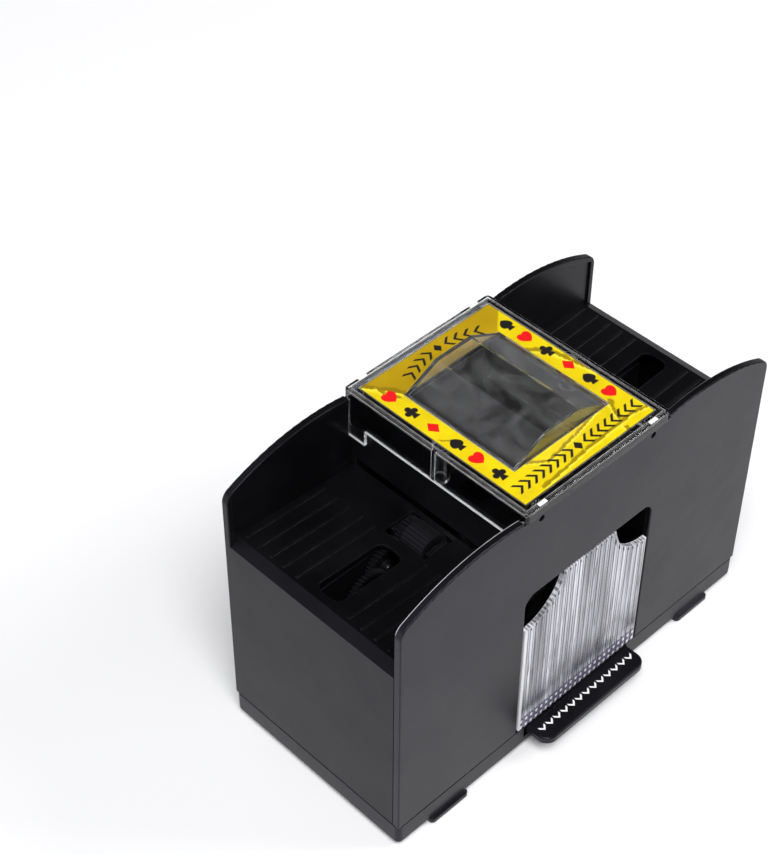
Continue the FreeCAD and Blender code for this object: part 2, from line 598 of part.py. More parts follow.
def fluted_slab():
    """Front wall blank: upright convex flutes outside, flat inside."""
    half = num("drawer_x")
    count = int(num("flute_count"))
    outer = -num("drawer_front")
    valley = outer + num("flute_depth")
    inner = outer + num("front_thick")
    low = num("drawer_low")
    pitch = 2*half/count
    edges = []
    for index in range(count):
        start = -half + index*pitch
        spots = [FreeCAD.Vector(start, valley, low), FreeCAD.Vector(start + pitch/2, outer, low),
                 FreeCAD.Vector(start + pitch, valley, low)]
        edges.append(Part.Arc(*spots).toShape())
    back = [FreeCAD.Vector(half, valley, low), FreeCAD.Vector(half, inner, low),
            FreeCAD.Vector(-half, inner, low), FreeCAD.Vector(-half, valley, low)]
    edges += [Part.makeLine(first, second) for first, second in zip(back, back[1:])]
    item = doc.addObject("Part::Feature", "fluted_slab")
    item.Shape = Part.Face(Part.Wire(edges)).extrude(FreeCAD.Vector(0, 0, num("horn_z") - low))
    return item


def output_tray():
    """Clear drawer that catches the shuffled deck, with a fluted front between two scoops."""
    outline = prism("drawer_outline", [
        ("-drawer_x", "drawer_low"), ("drawer_x", "drawer_low"),
        ("drawer_x", "drawer_corner_z", "-scoop_radius"), ("horn_x", "horn_z"),
        ("-horn_x", "horn_z", "-scoop_radius"), ("-drawer_x", "drawer_corner_z")],
        "-drawer_front - 1", "front_thick + 1 - drawer_front")
    front = common("drawer_front_wall", fluted_slab(), outline)
    inner_y = "front_thick - drawer_front"
    side_x = "drawer_x - 0.2"
    solids = [front, box("drawer_base", (f"-({side_x})", side_x), (f"{inner_y} - 0.5", "drawer_back"),
                         ("drawer_floor", "drawer_floor + 1.8")),
              box("drawer_rear", (f"-({side_x})", side_x), ("drawer_back - 1.6", "drawer_back"),
                  ("drawer_floor", "drawer_back_z"))]
    for side in (-1, 1):
        solids.append(box(f"drawer_side_{side + 1}", flip(side, f"{side_x} - drawer_side", side_x),
                          (f"{inner_y} - 0.5", "drawer_back"), ("drawer_floor", "drawer_side_z")))
    finish(fuse("drawer_body", solids), "output_tray")


# ---------------------------------------------------------------- button, springs and switch

def operate_button():
    """Wide press plate out in front of the base, on an arm that turns about the pivot pin."""
    front = f"-({HALF_D} + button_reach)"
    face = box("button_face", ("-button_x", "button_x"), (front, "-44"), ("button_low", "button_top"))
    corners = rounded("button_corners", face, "button_round",
                      lambda spot, run: run == "z" and spot.y < -50)
    plate = rounded("button_plate", corners, "0.8",
                    lambda spot, run: near(spot.z, "button_top") and spot.y < -45)
    arm = box("button_arm", ("-arm_x", "arm_x"), ("-45", "pivot_y"), ("button_low", "button_top"))
    solids = [plate, arm]
    for side in (-1, 1):
        solids.append(cylinder(f"knuckle_{side + 1}", "knuckle_radius", "x", *flip(side, "arm_x - 9", "arm_x"),
                               ("pivot_y", "pivot_z")))
    bore = cylinder("knuckle_bore", "pivot_radius + 0.05", "x", "-arm_x - 1", "arm_x + 1", ("pivot_y", "pivot_z"))
    heel = box("heel_room", ("9 - arm_x", "arm_x - 9"), ("pivot_y - 4", "pivot_y + 1"), ("button_low - 4", "button_top + 1"))
    finish(cut("button_body", fuse("button_solids", solids), [bore, heel]), "operate_button")
    finish(cylinder("pivot_rod", "pivot_radius", "x", "-button_x - 1.9", "button_x + 1.9",
                    ("pivot_y", "pivot_z")), "button_pivot_pin")


def coil(centre, axis, radius, wire, length, turns):
    """A spring's wire from centre along axis: half rings, each tilted to climb half a turn."""
    rise = length/(2*turns)
    tilt = math.degrees(math.atan2(rise/2, radius))
    origin, up = FreeCAD.Vector(), FreeCAD.Vector(0, 0, 1)
    halves = []
    for count in range(2*turns):
        half = Part.makeTorus(math.hypot(radius, rise/2), wire, origin, up, -180, 180, 180)
        half.rotate(origin, FreeCAD.Vector(0, 1, 0), tilt)
        half.rotate(origin, up, 180*count)
        half.translate(up*rise*(count + 0.5))
        halves.append(half)
    spring = halves[0].fuse(halves[1:]).Solids[0]
    spring.Placement = FreeCAD.Placement(centre, FreeCAD.Rotation(up, axis))
    return spring


def button_springs():
    wire = 0.3
    low = num(FLOOR)
    length = num("button_low") - low - 2*wire
    springs = []
    for side in (-1, 1):
        centre = FreeCAD.Vector(side*num("spring_x"), num("spring_y"), low + wire)
        springs.append(coil(centre, FreeCAD.Vector(0, 0, 1), 2.3, wire, length, 3))
    feature("button_springs", Part.Compound(springs))


def switch():
    """Momentary switch on the base floor, pressed by the underside of the button's arm."""
    case = box("switch_case", ("-6", "6"), ("switch_y - 3", "switch_y + 3"), (FLOOR, f"{FLOOR} + 4.5"))
    bore = cylinder("switch_bore", "1.55", "z", f"{FLOOR} + 0.3", f"{FLOOR} + 5", ("0", "switch_y"))
    finish(cut("switch_body_cut", case, [bore]), "switch_body")
    stem = cylinder("stem", "1.5", "z", f"{FLOOR} + 1.8", "button_low - 0.4", ("0", "switch_y"))
    tip = cylinder("stem_tip", "0.9", "z", f"{FLOOR} + 2", "button_low - 0.12", ("0", "switch_y"))
    finish(fuse("plunger", [stem, tip]), "switch_plunger")


# ---------------------------------------------------------------- battery door and contacts

def battery_door():
    """Flush door under the bay: two stub pins at its outer edge, a latch tongue at the inner one."""
    plate = box("door_plate", ("bay_inner + 0.4", "bay_outer - 0.8"), ("0.4 - bay_y", "bay_y - 0.4"),
                ("base_bottom", "base_bottom + door_thick"))
    pins = cylinder("door_pins", "0.7", "y", "-bay_y - 1", "bay_y + 1", ("door_axis_x", "door_axis_z"))
    tongue = box("door_tongue", ("bay_inner + 0.4", "bay_inner + 1.6"), ("-5", "5"),
                 ("base_bottom + 1", "base_bottom + 5.5"))
    hook = box("door_hook", ("bay_inner + 0.2", "bay_inner + 1"), ("-4", "4"),
               ("base_bottom + 3.6", "base_bottom + 4.6"))
    grip = [box(f"door_grip_{count}", (f"bay_inner + 5 + {count}*2", f"bay_inner + 6 + {count}*2"), ("-8", "8"),
                ("base_bottom - 1", "base_bottom + 0.5")) for count in range(5)]
    finish(cut("door_body", fuse("door_solids", [plate, pins, tongue, hook]), grip), "battery_door")


def cell_x(count):
    """Middle of one of the four cells, counted outwards."""
    return f"bay_inner + (bay_outer - bay_inner)*({count} + 0.5)/4"


def battery_contacts():
    """Plates on the bay's end walls, and a coil spring at each cell's negative end."""
    plates = []
    springs = []
    height = (num(FLOOR) + num("bay_top"))/2
    for count in range(4):
        for depth in (-1, 1):
            plates.append(box(f"contact_{count}_{depth + 1}", (f"{cell_x(count)} - 5.5", f"{cell_x(count)} + 5.5"),
                              flip(depth, "bay_y - 0.5", "bay_y"), (f"{FLOOR} + 2", "bay_top - 2")))
        depth = 1 if count % 2 else -1
        centre = FreeCAD.Vector(num(cell_x(count)), depth*(num("bay_y") - 0.85), height)
        springs.append(coil(centre, FreeCAD.Vector(0, -depth, 0), 3.4, 0.35, 2.4, 3))
    finish(fuse("contact_group", plates), "battery_plates")
    feature("battery_springs", Part.Compound(springs))


# ---------------------------------------------------------------- gears

def involute(angle):
    return math.tan(angle) - angle


def gear_face(teeth, phase, side, centre, depth):
    """Spur gear outline in the XZ plane; phase is one tooth's direction seen outboard."""
    module = num("gear_module")
    pitch = module*teeth/2
    base = pitch*math.cos(PRESSURE_ANGLE)
    tip = pitch + ADDENDUM*module
    root = pitch - DEDENDUM*module
    half = math.pi/(2*teeth) - BACKLASH/(2*pitch)

    def spread(radius):
        turn = math.acos(min(1, base/radius))
        return half + involute(PRESSURE_ANGLE) - involute(turn)

    def spot(radius, angle):
        return FreeCAD.Vector(side*(centre[0] + radius*math.cos(angle)), depth,
                              centre[1] + radius*math.sin(angle))

    foot = max(base, root)
    steps = [foot, (foot + tip)/2, tip]
    edges = []
    for tooth in range(teeth):
        aim = math.radians(phase) + 2*math.pi*tooth/teeth
        rise = [spot(radius, aim - spread(radius)) for radius in steps]
        fall = [spot(radius, aim + spread(radius)) for radius in reversed(steps)]
        heel = spot(root, aim + spread(foot))
        next_toe = spot(root, aim + 2*math.pi/teeth - spread(foot))
        if foot > root:
            edges.append(Part.makeLine(spot(root, aim - spread(foot)), rise[0]))
        edges.append(Part.Arc(*rise).toShape())
        edges.append(Part.Arc(rise[-1], spot(tip, aim), fall[0]).toShape())
        edges.append(Part.Arc(*fall).toShape())
        if foot > root:
            edges.append(Part.makeLine(fall[-1], heel))
        edges.append(Part.Arc(heel, spot(root, aim + math.pi/teeth), next_toe).toShape())
    return Part.Face(Part.Wire(edges))


def gear_wheel(teeth, phase, side, centre, low, width):
    return gear_face(teeth, phase, side, centre, low).extrude(FreeCAD.Vector(0, width, 0))


def meshed_phase(phase, teeth, angle, next_teeth):
    """Phase that puts the next gear's gap on this gear's tooth, along the line of centres."""
    return angle + 180 - ((phase - angle)*teeth + 180)/next_teeth


def barrel(side, centre, radius, low, high):
    """A solid cylinder along Y about a gear centre."""
    spot = FreeCAD.Vector(side*centre[0], low, centre[1])
    return Part.makeCylinder(radius, high - low, spot, FreeCAD.Vector(0, 1, 0))


def drive_gears(name, side):
    """The four rotating mouldings of one side's train, all in mesh."""
    teeth = {key: int(num(key + "_teeth")) for key in ("roller", "transfer", "small", "big", "pinion")}
    roller = (num("roller_x"), num("roller_z"))
    transfer, compound, motor = [(num(spot[0]), num(spot[1])) for spot in (TRANSFER, COMPOUND, MOTOR)]
    low, width = num("gear_y"), num("gear_width")
    big_low, big_width = num("big_y"), num("big_width")
    phase = {"roller": 90, "big": 90}
    phase["transfer"] = meshed_phase(90, teeth["roller"], num("transfer_angle"), teeth["transfer"])
    phase["small"] = meshed_phase(phase["transfer"], teeth["transfer"], num("compound_angle"), teeth["small"])
    phase["pinion"] = meshed_phase(90, teeth["big"], num("motor_angle"), teeth["pinion"])
    hub_end = num("plate_y") - 0.4
    bore = num("pin_radius") + 0.05

    wheel = gear_wheel(teeth["roller"], phase["roller"], side, roller, low, width)
    hub = barrel(side, roller, num("hub_radius"), num("roller_front"), low)
    shaft_hole = barrel(side, roller, num("shaft_radius"), -20, 20)
    feature(f"{name}_roller_gear", wheel.fuse(hub).cut(shaft_hole))

    wheel = gear_wheel(teeth["transfer"], phase["transfer"], side, transfer, low, width)
    ring = barrel(side, transfer, 7.5, low - 1, low + 1).cut(barrel(side, transfer, 3.2, low - 1, low + 1))
    hub = barrel(side, transfer, 2.4, low - 0.4, hub_end)
    solid = wheel.cut(ring).fuse(hub).cut(barrel(side, transfer, bore, -20, 20))
    feature(f"{name}_transfer_gear", solid)

    wheel = gear_wheel(teeth["small"], phase["small"], side, compound, big_low + big_width, low + width - big_low - big_width)
    disc = gear_wheel(teeth["big"], phase["big"], side, compound, big_low, big_width)
    ring = barrel(side, compound, 9.4, 0, big_low + 0.8).cut(barrel(side, compound, 3.4, 0, big_low + 0.8))
    hub = barrel(side, compound, 2.4, low, hub_end)
    solid = disc.cut(ring).fuse([wheel, hub]).cut(barrel(side, compound, bore, -20, 20))
    feature(f"{name}_compound_gear", solid)

    wheel = gear_wheel(teeth["pinion"], phase["pinion"], side, motor, big_low - 0.2, big_width + 0.4)
    feature(f"{name}_motor_pinion", wheel.cut(barrel(side, motor, num("pin_radius"), -20, 20)))


# ---------------------------------------------------------------- drive frame, shaft and motor

def drive_frame(name, side):
    """Moulded bracket: gear plate, ear for the roller shaft's front end, foot and top flange."""
    def out(text):
        return f"{side}*({text})"

    plate = prism(name + "_gear_plate", [
        (out("42.5"), "66"), (out("42.5"), "ear_top"), (out("53.5"), "ear_top"), (out("53.5"), "101"),
        (out("97"), "101"), (out("97"), "66")], "plate_y", "plate_y + plate_thick")
    ear = box(name + "_ear", flip(side, "43", "53.5"), ("ear_y", "ear_y + plate_thick"), ("78", "ear_top"))
    foot = box(name + "_foot", flip(side, "43", "53.5"), ("ear_y", "plate_y + 1"), ("78", "80"))
    flange = box(name + "_flange", flip(side, "58", "97"), ("plate_y + 1", "30"), ("99", "101"))
    openings = [cylinder(name + "_bush_way", "bush_radius + 0.02", "y", "ear_y - 1", "plate_y + plate_thick + 1",
                         (out("roller_x"), "roller_z")),
                cylinder(name + "_motor_way", "3.1", "y", "plate_y - 1", "plate_y + plate_thick + 1",
                         (out(MOTOR[0]), MOTOR[1]))]
    for label, spot in (("transfer", TRANSFER), ("compound", COMPOUND)):
        openings.append(cylinder(f"{name}_{label}_way", "pin_radius + 0.02", "y", "plate_y - 1",
                                 "plate_y + plate_thick + 1", (out(spot[0]), spot[1])))
    for label, along, depth in (("outer", "94", "20"), ("inner", "64", "26")):
        openings.append(cylinder(f"{name}_flange_way_{label}", "1.3", "z", "98", "102", (out(along), depth)))
    for place in (-1, 1):
        openings.append(cylinder(f"{name}_mount_way_{place + 1}", "1.1", "y", "plate_y - 1",
                                 "plate_y + plate_thick + 1", (out(f"{MOTOR[0]} + {place}*6"), MOTOR[1])))
    finish(cut(name + "_frame_cut", fuse(name + "_frame_solids", [plate, ear, foot, flange]), openings),
           f"{name}_drive_frame")


def frame_screws(name, side):
    """Two screws up into the hopper's hangers and two that hold the motor's face."""
    screws = []
    for label, along, depth in (("outer", "94", "20"), ("inner", "64", "26")):
        spot = (f"{side}*{along}", depth)
        screws.append(cylinder(f"{name}_flange_head_{label}", "2.3", "z", "97.4", "99", spot))
        screws.append(cylinder(f"{name}_flange_shank_{label}", "1", "z", "98.5", "104.5", spot))
    for place in (-1, 1):
        spot = (f"{side}*({MOTOR[0]} + {place}*6)", MOTOR[1])
        screws.append(cylinder(f"{name}_mount_head_{place + 1}", "1.9", "y", "plate_y - 1.2", "plate_y", spot))
        screws.append(cylinder(f"{name}_mount_shank_{place + 1}", "0.95", "y", "plate_y - 0.5",
                               "plate_y + plate_thick + 2", spot))
    finish(fuse(f"{name}_frame_screw_group", screws), f"{name}_frame_screws")


def feed_shaft(name, side):
    """Steel shaft under the roller, running in two flanged bushes."""
    spot = (f"{side}*roller_x", "roller_z")
    finish(cylinder(name + "_shaft", "shaft_radius", "y", "ear_y - 0.5", "plate_y + plate_thick + 0.5", spot),
           f"{name}_feed_shaft")
    solids = [cylinder(name + "_bush_front", "bush_radius", "y", "ear_y", "ear_y + plate_thick + 0.4", spot),
              cylinder(name + "_bush_back", "bush_radius", "y", "plate_y - 0.4", "plate_y + plate_thick", spot),
              cylinder(name + "_flange_front", "2.7", "y", "ear_y + plate_thick", "ear_y + plate_thick + 0.4", spot),
              cylinder(name + "_flange_back", "2.7", "y", "plate_y - 0.4", "plate_y", spot)]
    bore = cylinder(name + "_bush_bore", "shaft_radius + 0.05", "y", "-20", "20", spot)
    finish(cut(name + "_bush_cut", fuse(name + "_bush_solids", solids), [bore]), f"{name}_shaft_bushes")


def feed_roller(name, side):
    """Rubber sleeve with fine lengthwise ribs that drags the bottom card inwards."""
    centre = (num("roller_x"), num("roller_z"))
    outer, inner = num("roller_radius"), num("hub_radius")
    low, high = num("roller_front"), num("roller_back")
    grooves = 26
    edges = []
    for index in range(grooves):
        angles = [2*math.pi*(index + part)/grooves for part in (0, 0.35, 0.7, 0.85, 1)]
        radii = (outer, outer, outer, outer - 0.6, outer)
        spots = [FreeCAD.Vector(side*(centre[0] + radius*math.cos(angle)), low,
                                centre[1] + radius*math.sin(angle)) for radius, angle in zip(radii, angles)]
        edges.append(Part.Arc(*spots[:3]).toShape())
        edges.append(Part.Arc(*spots[2:]).toShape())
    sleeve = Part.Face(Part.Wire(edges)).extrude(FreeCAD.Vector(0, high - low, 0))
    feature(f"{name}_feed_roller", sleeve.cut(barrel(side, centre, inner, low - 1, high + 1)))


def motor(name, side):
    """Small flat-sided electric motor: steel can, nylon end cap with tags, and its shaft."""
    spot = (f"{side}*({MOTOR[0]})", MOTOR[1])
    face = "plate_y + plate_thick"
    rear = f"{face} + motor_length"
    can = cylinder(name + "_can_round", "motor_radius", "y", face, rear, spot)
    flats = box(name + "_can_flats", (f"{spot[0]} - 12", f"{spot[0]} + 12"), (f"{face} - 2", f"{rear} + 1"),
                (f"{MOTOR[1]} - motor_flat", f"{MOTOR[1]} + motor_flat"))
    nose = cylinder(name + "_nose", "3", "y", f"{face} - 1.6", f"{face} + 0.5", spot)
    bore = cylinder(name + "_can_bore", "pin_radius + 0.05", "y", f"{face} - 3", f"{face} + 12", spot)
    holes = [cylinder(f"{name}_can_hole_{place + 1}", "1", "y", f"{face} - 1", f"{face} + 3",
                      (f"{spot[0]} + {side*place}*6", spot[1])) for place in (-1, 1)]
    shape = fuse(name + "_can_solids", [common(name + "_can_flat", can, flats), nose])
    finish(cut(name + "_can_cut", shape, [bore] + holes), f"{name}_motor_can")
    cap = cylinder(name + "_cap_round", "motor_radius - 0.6", "y", rear, f"{rear} + 2.6", spot)
    cap_flats = box(name + "_cap_flats", (f"{spot[0]} - 12", f"{spot[0]} + 12"), (rear, f"{rear} + 3"),
                    (f"{MOTOR[1]} - motor_flat + 0.3", f"{MOTOR[1]} + motor_flat - 0.3"))
    tags = [box(f"{name}_tag_{place + 1}", (f"{spot[0]} + {place}*5 - 1.2", f"{spot[0]} + {place}*5 + 1.2"),
                (f"{rear} + 2", f"{rear} + 4.6"), (f"{MOTOR[1]} - 0.2", f"{MOTOR[1]} + 0.2")) for place in (-1, 1)]
    finish(fuse(name + "_cap_solids", [common(name + "_cap_flat", cap, cap_flats)] + tags),
           f"{name}_motor_end_cap")
    finish(cylinder(name + "_rotor_shaft", "pin_radius", "y", "big_y - 0.6", f"{face} + 10", spot),
           f"{name}_motor_shaft")


def gear_pins(name, side):
    """Headed pins pressed into the gear plate, carrying the transfer and compound gears."""
    pins = []
    for label, spot, low in (("transfer", TRANSFER, "gear_y - 0.6"), ("compound", COMPOUND, "big_y - 0.2")):
        centre = (f"{side}*({spot[0]})", spot[1])
        pins.append(cylinder(f"{name}_{label}_pin", "pin_radius", "y", f"{low} - 0.4", "plate_y + plate_thick", centre))
        pins.append(cylinder(f"{name}_{label}_head", "1.8", "y", f"{low} - 0.6", low, centre))
    finish(fuse(name + "_pin_group", pins), f"{name}_gear_pins")


# ---------------------------------------------------------------- build, check and write

base_tray()
foot_pads()
base_screws()
panel("front_panel", -1)
panel("back_panel", 1)
top_cover()
cover_label()
output_tray()
operate_button()
button_springs()
switch()
battery_door()
battery_contacts()
for side_name, side_sign in SIDES.items():
    hopper(side_name + "_hopper", side_sign)
    card_gate(side_name + "_card_gate", side_sign)
    drive_frame(side_name, side_sign)
    frame_screws(side_name, side_sign)
    gear_pins(side_name, side_sign)
    feed_shaft(side_name, side_sign)
    drive_gears(side_name, side_sign)
    feed_roller(side_name, side_sign)
    motor(side_name, side_sign)

doc.recompute()
for item in doc.Objects:
    if "Invalid" in item.State or "Error" in item.State:
        raise ValueError(f"{item.Label} failed: {item.State}")
for item in PARTS:
    if item.Shape.isNull() or not item.Shape.isValid() or item.Shape.Volume <= 0:
        raise ValueError(f"{item.Label} has no valid shape")
for item in PARTS:
    item.Shape.exportStep(f"parts/{item.Label}.step")
    bounds = item.Shape.BoundBox
    print(f"{item.Label:24s} solids {len(item.Shape.Solids):2d}  volume {item.Shape.Volume:9.1f}"
          f"  x {bounds.XMin:7.1f} {bounds.XMax:7.1f}  y {bounds.YMin:6.1f} {bounds.YMax:6.1f}"
          f"  z {bounds.ZMin:6.1f} {bounds.ZMax:6.1f}")
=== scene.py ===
import bpy
import bmesh
import math
from mathutils import Matrix, Vector
from mathutils.geometry import tessellate_polygon
from mathutils.noise import noise


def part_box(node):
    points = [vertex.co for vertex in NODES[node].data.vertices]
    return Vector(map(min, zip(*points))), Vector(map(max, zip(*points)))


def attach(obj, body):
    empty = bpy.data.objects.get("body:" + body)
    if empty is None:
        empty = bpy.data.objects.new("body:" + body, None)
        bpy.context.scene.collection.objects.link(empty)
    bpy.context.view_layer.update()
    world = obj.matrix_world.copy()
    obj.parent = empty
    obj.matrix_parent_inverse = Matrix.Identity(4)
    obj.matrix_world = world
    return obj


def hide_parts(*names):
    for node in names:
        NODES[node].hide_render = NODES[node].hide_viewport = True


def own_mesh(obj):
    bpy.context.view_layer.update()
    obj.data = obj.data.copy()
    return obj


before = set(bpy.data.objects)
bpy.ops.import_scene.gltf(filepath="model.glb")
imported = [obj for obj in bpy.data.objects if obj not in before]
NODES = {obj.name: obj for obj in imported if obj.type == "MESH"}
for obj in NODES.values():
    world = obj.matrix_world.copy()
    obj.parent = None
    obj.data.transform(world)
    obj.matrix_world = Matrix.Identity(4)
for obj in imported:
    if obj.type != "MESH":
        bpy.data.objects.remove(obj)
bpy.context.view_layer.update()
MM = 0.001
SIDES = ("left", "right")

# where the camera is, in metres, and which way its right and upper sides point
CAMERA_SPOT = (-0.43521, -0.370835, 0.68018)
CAMERA_RIGHT = (0.71597, -0.69813, 0.00297)
CAMERA_UP = (0.48095, 0.49633, 0.72273)
CAMERA_LENS, CAMERA_SENSOR = 83.55, 36
LIGHT_AIM = (0, 0, 0.07)

# in millimetres; depths are from the middle of the housing, whose y is CENTRE_Y
CENTRE_Y = sum(corner[1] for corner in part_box("cover_label"))/2/MM
LABEL_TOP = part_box("cover_label")[1][2]/MM
LABEL_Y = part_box("cover_label")[1][1]/MM - CENTRE_Y
COVER_TOP = 147.5            # upper face of the cover's flat plate
RIM_INNER = 46.05            # from the middle of the housing to the front panel's inner rim corner
LEG_IN = 37.85               # inner edges of the corner legs
SKIRT_STEP = 7.5             # the skirt's lower edge, above the leg ends
FLUTES = 24                  # upright flutes across the output tray's front
SCOOP_LOW = 78               # height of the outer end of the tray's finger scoops
SCOOP_IN = 15.5              # how far their inner ends are from the middle
SCOOP_RADIUS = 21.6
BUTTON_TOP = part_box("operate_button")[1][2]/MM
MARK_INSET = 6.3             # from the button's free edge to its row of chevrons
BUTTON_MARK_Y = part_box("operate_button")[0][1]/MM - CENTRE_Y + MARK_INSET
BUTTON_MARKS, BUTTON_MARK_STEP, BUTTON_MARK_START = 13, 4.6, -27.5
FOIL_THICK = 0.17
INK_RISE = 0.05              # how far printed marks stand out
SUIT_SIZE = 2.85

# darkest and lightest tone of the black plastic, and how rough it is
BLACK = ((0.0022, 0.0022, 0.0026), (0.0045, 0.0045, 0.0052))
SATIN = 0.33


# ---------------------------------------------------------------- camera

def add_camera():
    """Camera above the front left corner, looking down at the object."""
    data = bpy.data.cameras.new("camera")
    data.sensor_width = CAMERA_SENSOR
    data.lens = CAMERA_LENS
    data.clip_start, data.clip_end = 0.01, 20
    camera = bpy.data.objects.new("camera", data)
    bpy.context.scene.collection.objects.link(camera)
    right = Vector(CAMERA_RIGHT)
    back = right.cross(Vector(CAMERA_UP)).normalized()
    up = back.cross(right).normalized()
    turned = Matrix((right, up, back)).transposed()
    camera.matrix_world = Matrix.LocRotScale(Vector(CAMERA_SPOT), turned, None)
    bpy.context.scene.camera = camera
    bpy.context.scene.view_settings.view_transform = "Standard"


# ---------------------------------------------------------------- material tools

class Nodes:
    """Shader node tree of one material, with short calls for the nodes that repeat."""

    def __init__(self, name):
        self.material = bpy.data.materials.new(name)
        self.material.use_nodes = True
        self.tree = self.material.node_tree
        self.shader = self.tree.nodes["Principled BSDF"]
        self.place = self.new("ShaderNodeTexCoord").outputs["Object"]

    def new(self, kind, **settings):
        node = self.tree.nodes.new(kind)
        for key, value in settings.items():
            setattr(node, key, value)
        return node

    def feed(self, source, socket):
        if hasattr(source, "node"):
            self.tree.links.new(source, socket)
        elif isinstance(source, (tuple, list)) and len(source) == 3 and socket.type == "RGBA":
            socket.default_value = (*source, 1)
        else:
            socket.default_value = source

    def set(self, **values):
        for key, value in values.items():
            self.feed(value, self.shader.inputs[key.replace("_", " ")])
        return self

    def stretched(self, scale):
        node = self.new("ShaderNodeMapping")
        node.inputs["Scale"].default_value = scale
        self.feed(self.place, node.inputs["Vector"])
        return node.outputs["Vector"]

    def noise(self, scale, detail=3.0, rough=0.55, stretch=None, distort=0.0):
        node = self.new("ShaderNodeTexNoise")
        self.feed(self.stretched(stretch) if stretch else self.place, node.inputs["Vector"])
        node.inputs["Scale"].default_value = scale
        node.inputs["Detail"].default_value = detail
        node.inputs["Roughness"].default_value = rough
        node.inputs["Distortion"].default_value = distort
        return node.outputs["Fac"]

    def ramp(self, value, low, high, start=0.0, end=1.0):
        """Maps value from low..high onto start..end, held at both ends."""
        node = self.new("ShaderNodeMapRange")
        for key, number in zip(("From Min", "From Max", "To Min", "To Max"), (low, high, start, end)):
            node.inputs[key].default_value = number
        self.feed(value, node.inputs["Value"])
        return node.outputs["Result"]

    def math(self, operation, first, second=0.0):
        node = self.new("ShaderNodeMath", operation=operation)
        self.feed(first, node.inputs[0])
        self.feed(second, node.inputs[1])
        return node.outputs["Value"]

    def times(self, first, second):
        return self.math("MULTIPLY", first, second)

    def mix(self, factor, first, second):
        node = self.new("ShaderNodeMix", data_type="RGBA")
        self.feed(factor, node.inputs["Factor"])
        self.feed(first, node.inputs[6])
        self.feed(second, node.inputs[7])
        return node.outputs[2]

    def axis(self, letter):
        node = self.new("ShaderNodeSeparateXYZ")
        self.feed(self.place, node.inputs["Vector"])
        return node.outputs[letter]

    def edge_mask(self, radius):
        """1 on sharp outer edges, 0 on flats, from how far the rounded normal leaves the true one."""
        bevel = self.new("ShaderNodeBevel", samples=6)
        bevel.inputs["Radius"].default_value = radius
        true = self.new("ShaderNodeNewGeometry").outputs["Normal"]
        dot = self.new("ShaderNodeVectorMath", operation="DOT_PRODUCT")
        self.feed(bevel.outputs["Normal"], dot.inputs[0])
        self.feed(true, dot.inputs[1])
        return self.ramp(dot.outputs["Value"], 0.999, 0.86)

    def bumps(self, layers, soften=0.0):
        """Adds bump layers (height, strength, distance) over a slightly rounded normal."""
        normal = None
        if soften:
            bevel = self.new("ShaderNodeBevel", samples=6)
            bevel.inputs["Radius"].default_value = soften
            normal = bevel.outputs["Normal"]
        for height, strength, distance in layers:
            bump = self.new("ShaderNodeBump")
            bump.inputs["Strength"].default_value = strength
            bump.inputs["Distance"].default_value = distance
            self.feed(height, bump.inputs["Height"])
            if normal is not None:
                self.feed(normal, bump.inputs["Normal"])
            normal = bump.outputs["Normal"]
        self.feed(normal, self.shader.inputs["Normal"])
        return self


# ---------------------------------------------------------------- materials

def moulded(name, dark, light, rough, grain=0.25, soften=0.0003, wear_and_highlight=0.35, wear_and_highlight_tone=0.05, ior=1.34,
            painted_highlight_y=None):
    """Black or coloured moulded plastic: cloudy tone, fine grain, and lighter edges, partly wear and partly
    painted highlight; optionally a painted highlight line along one upper corner.
    """
    m = Nodes(name)
    cloud = m.noise(38, 4, 0.6)
    fine = m.noise(2600, 2, 0.5)
    scuff = m.noise(160, 5, 0.7, stretch=(1, 1, 6), distort=0.8)
    tone = m.mix(m.ramp(cloud, 0.35, 0.7), dark, light)
    # lighter edges, partly wear and partly painted highlight
    edge = m.times(m.edge_mask(0.0004), m.ramp(m.noise(420, 3), 0.3, 0.62))
    tone = m.mix(m.times(edge, wear_and_highlight), tone, tuple(min(1, c*2 + wear_and_highlight_tone) for c in light))
    if painted_highlight_y is not None:
        # painted highlight: a pale line along the upper corner on the plane at the given y, only on upward
        # faces and strongest towards the left
        painted_highlight_line = m.ramp(m.math("ABSOLUTE", m.math("SUBTRACT", m.axis("Y"), painted_highlight_y)), 0.5*MM, 0.35*MM)
        facing = m.new("ShaderNodeSeparateXYZ")
        m.feed(m.new("ShaderNodeNewGeometry").outputs["Normal"], facing.inputs["Vector"])
        painted_highlight_line = m.times(painted_highlight_line, m.ramp(facing.outputs["Z"], 0.2, 0.35))
        painted_highlight_line = m.times(painted_highlight_line, m.ramp(m.axis("X"), 0, -0.04, 0.12, 1))
        painted_highlight_line = m.times(painted_highlight_line, m.ramp(m.noise(90, 3), 0.3, 0.5, 0.5, 1))
        tone = m.mix(painted_highlight_line, tone, (0.62, 0.62, 0.64))
    gloss = m.math("ADD", m.ramp(cloud, 0.3, 0.7, rough - 0.05, rough + 0.05),
                   m.ramp(scuff, 0.62, 0.78, 0, -0.08))
    m.set(Base_Color=tone, Roughness=gloss, IOR=ior)
    m.shader.inputs["Specular Tint"].default_value = (0.8, 0.76, 1, 1)
    m.bumps([(m.noise(55, 2), 0.22, 0.0006), (fine, grain, 0.00004)], soften)
    return m.material


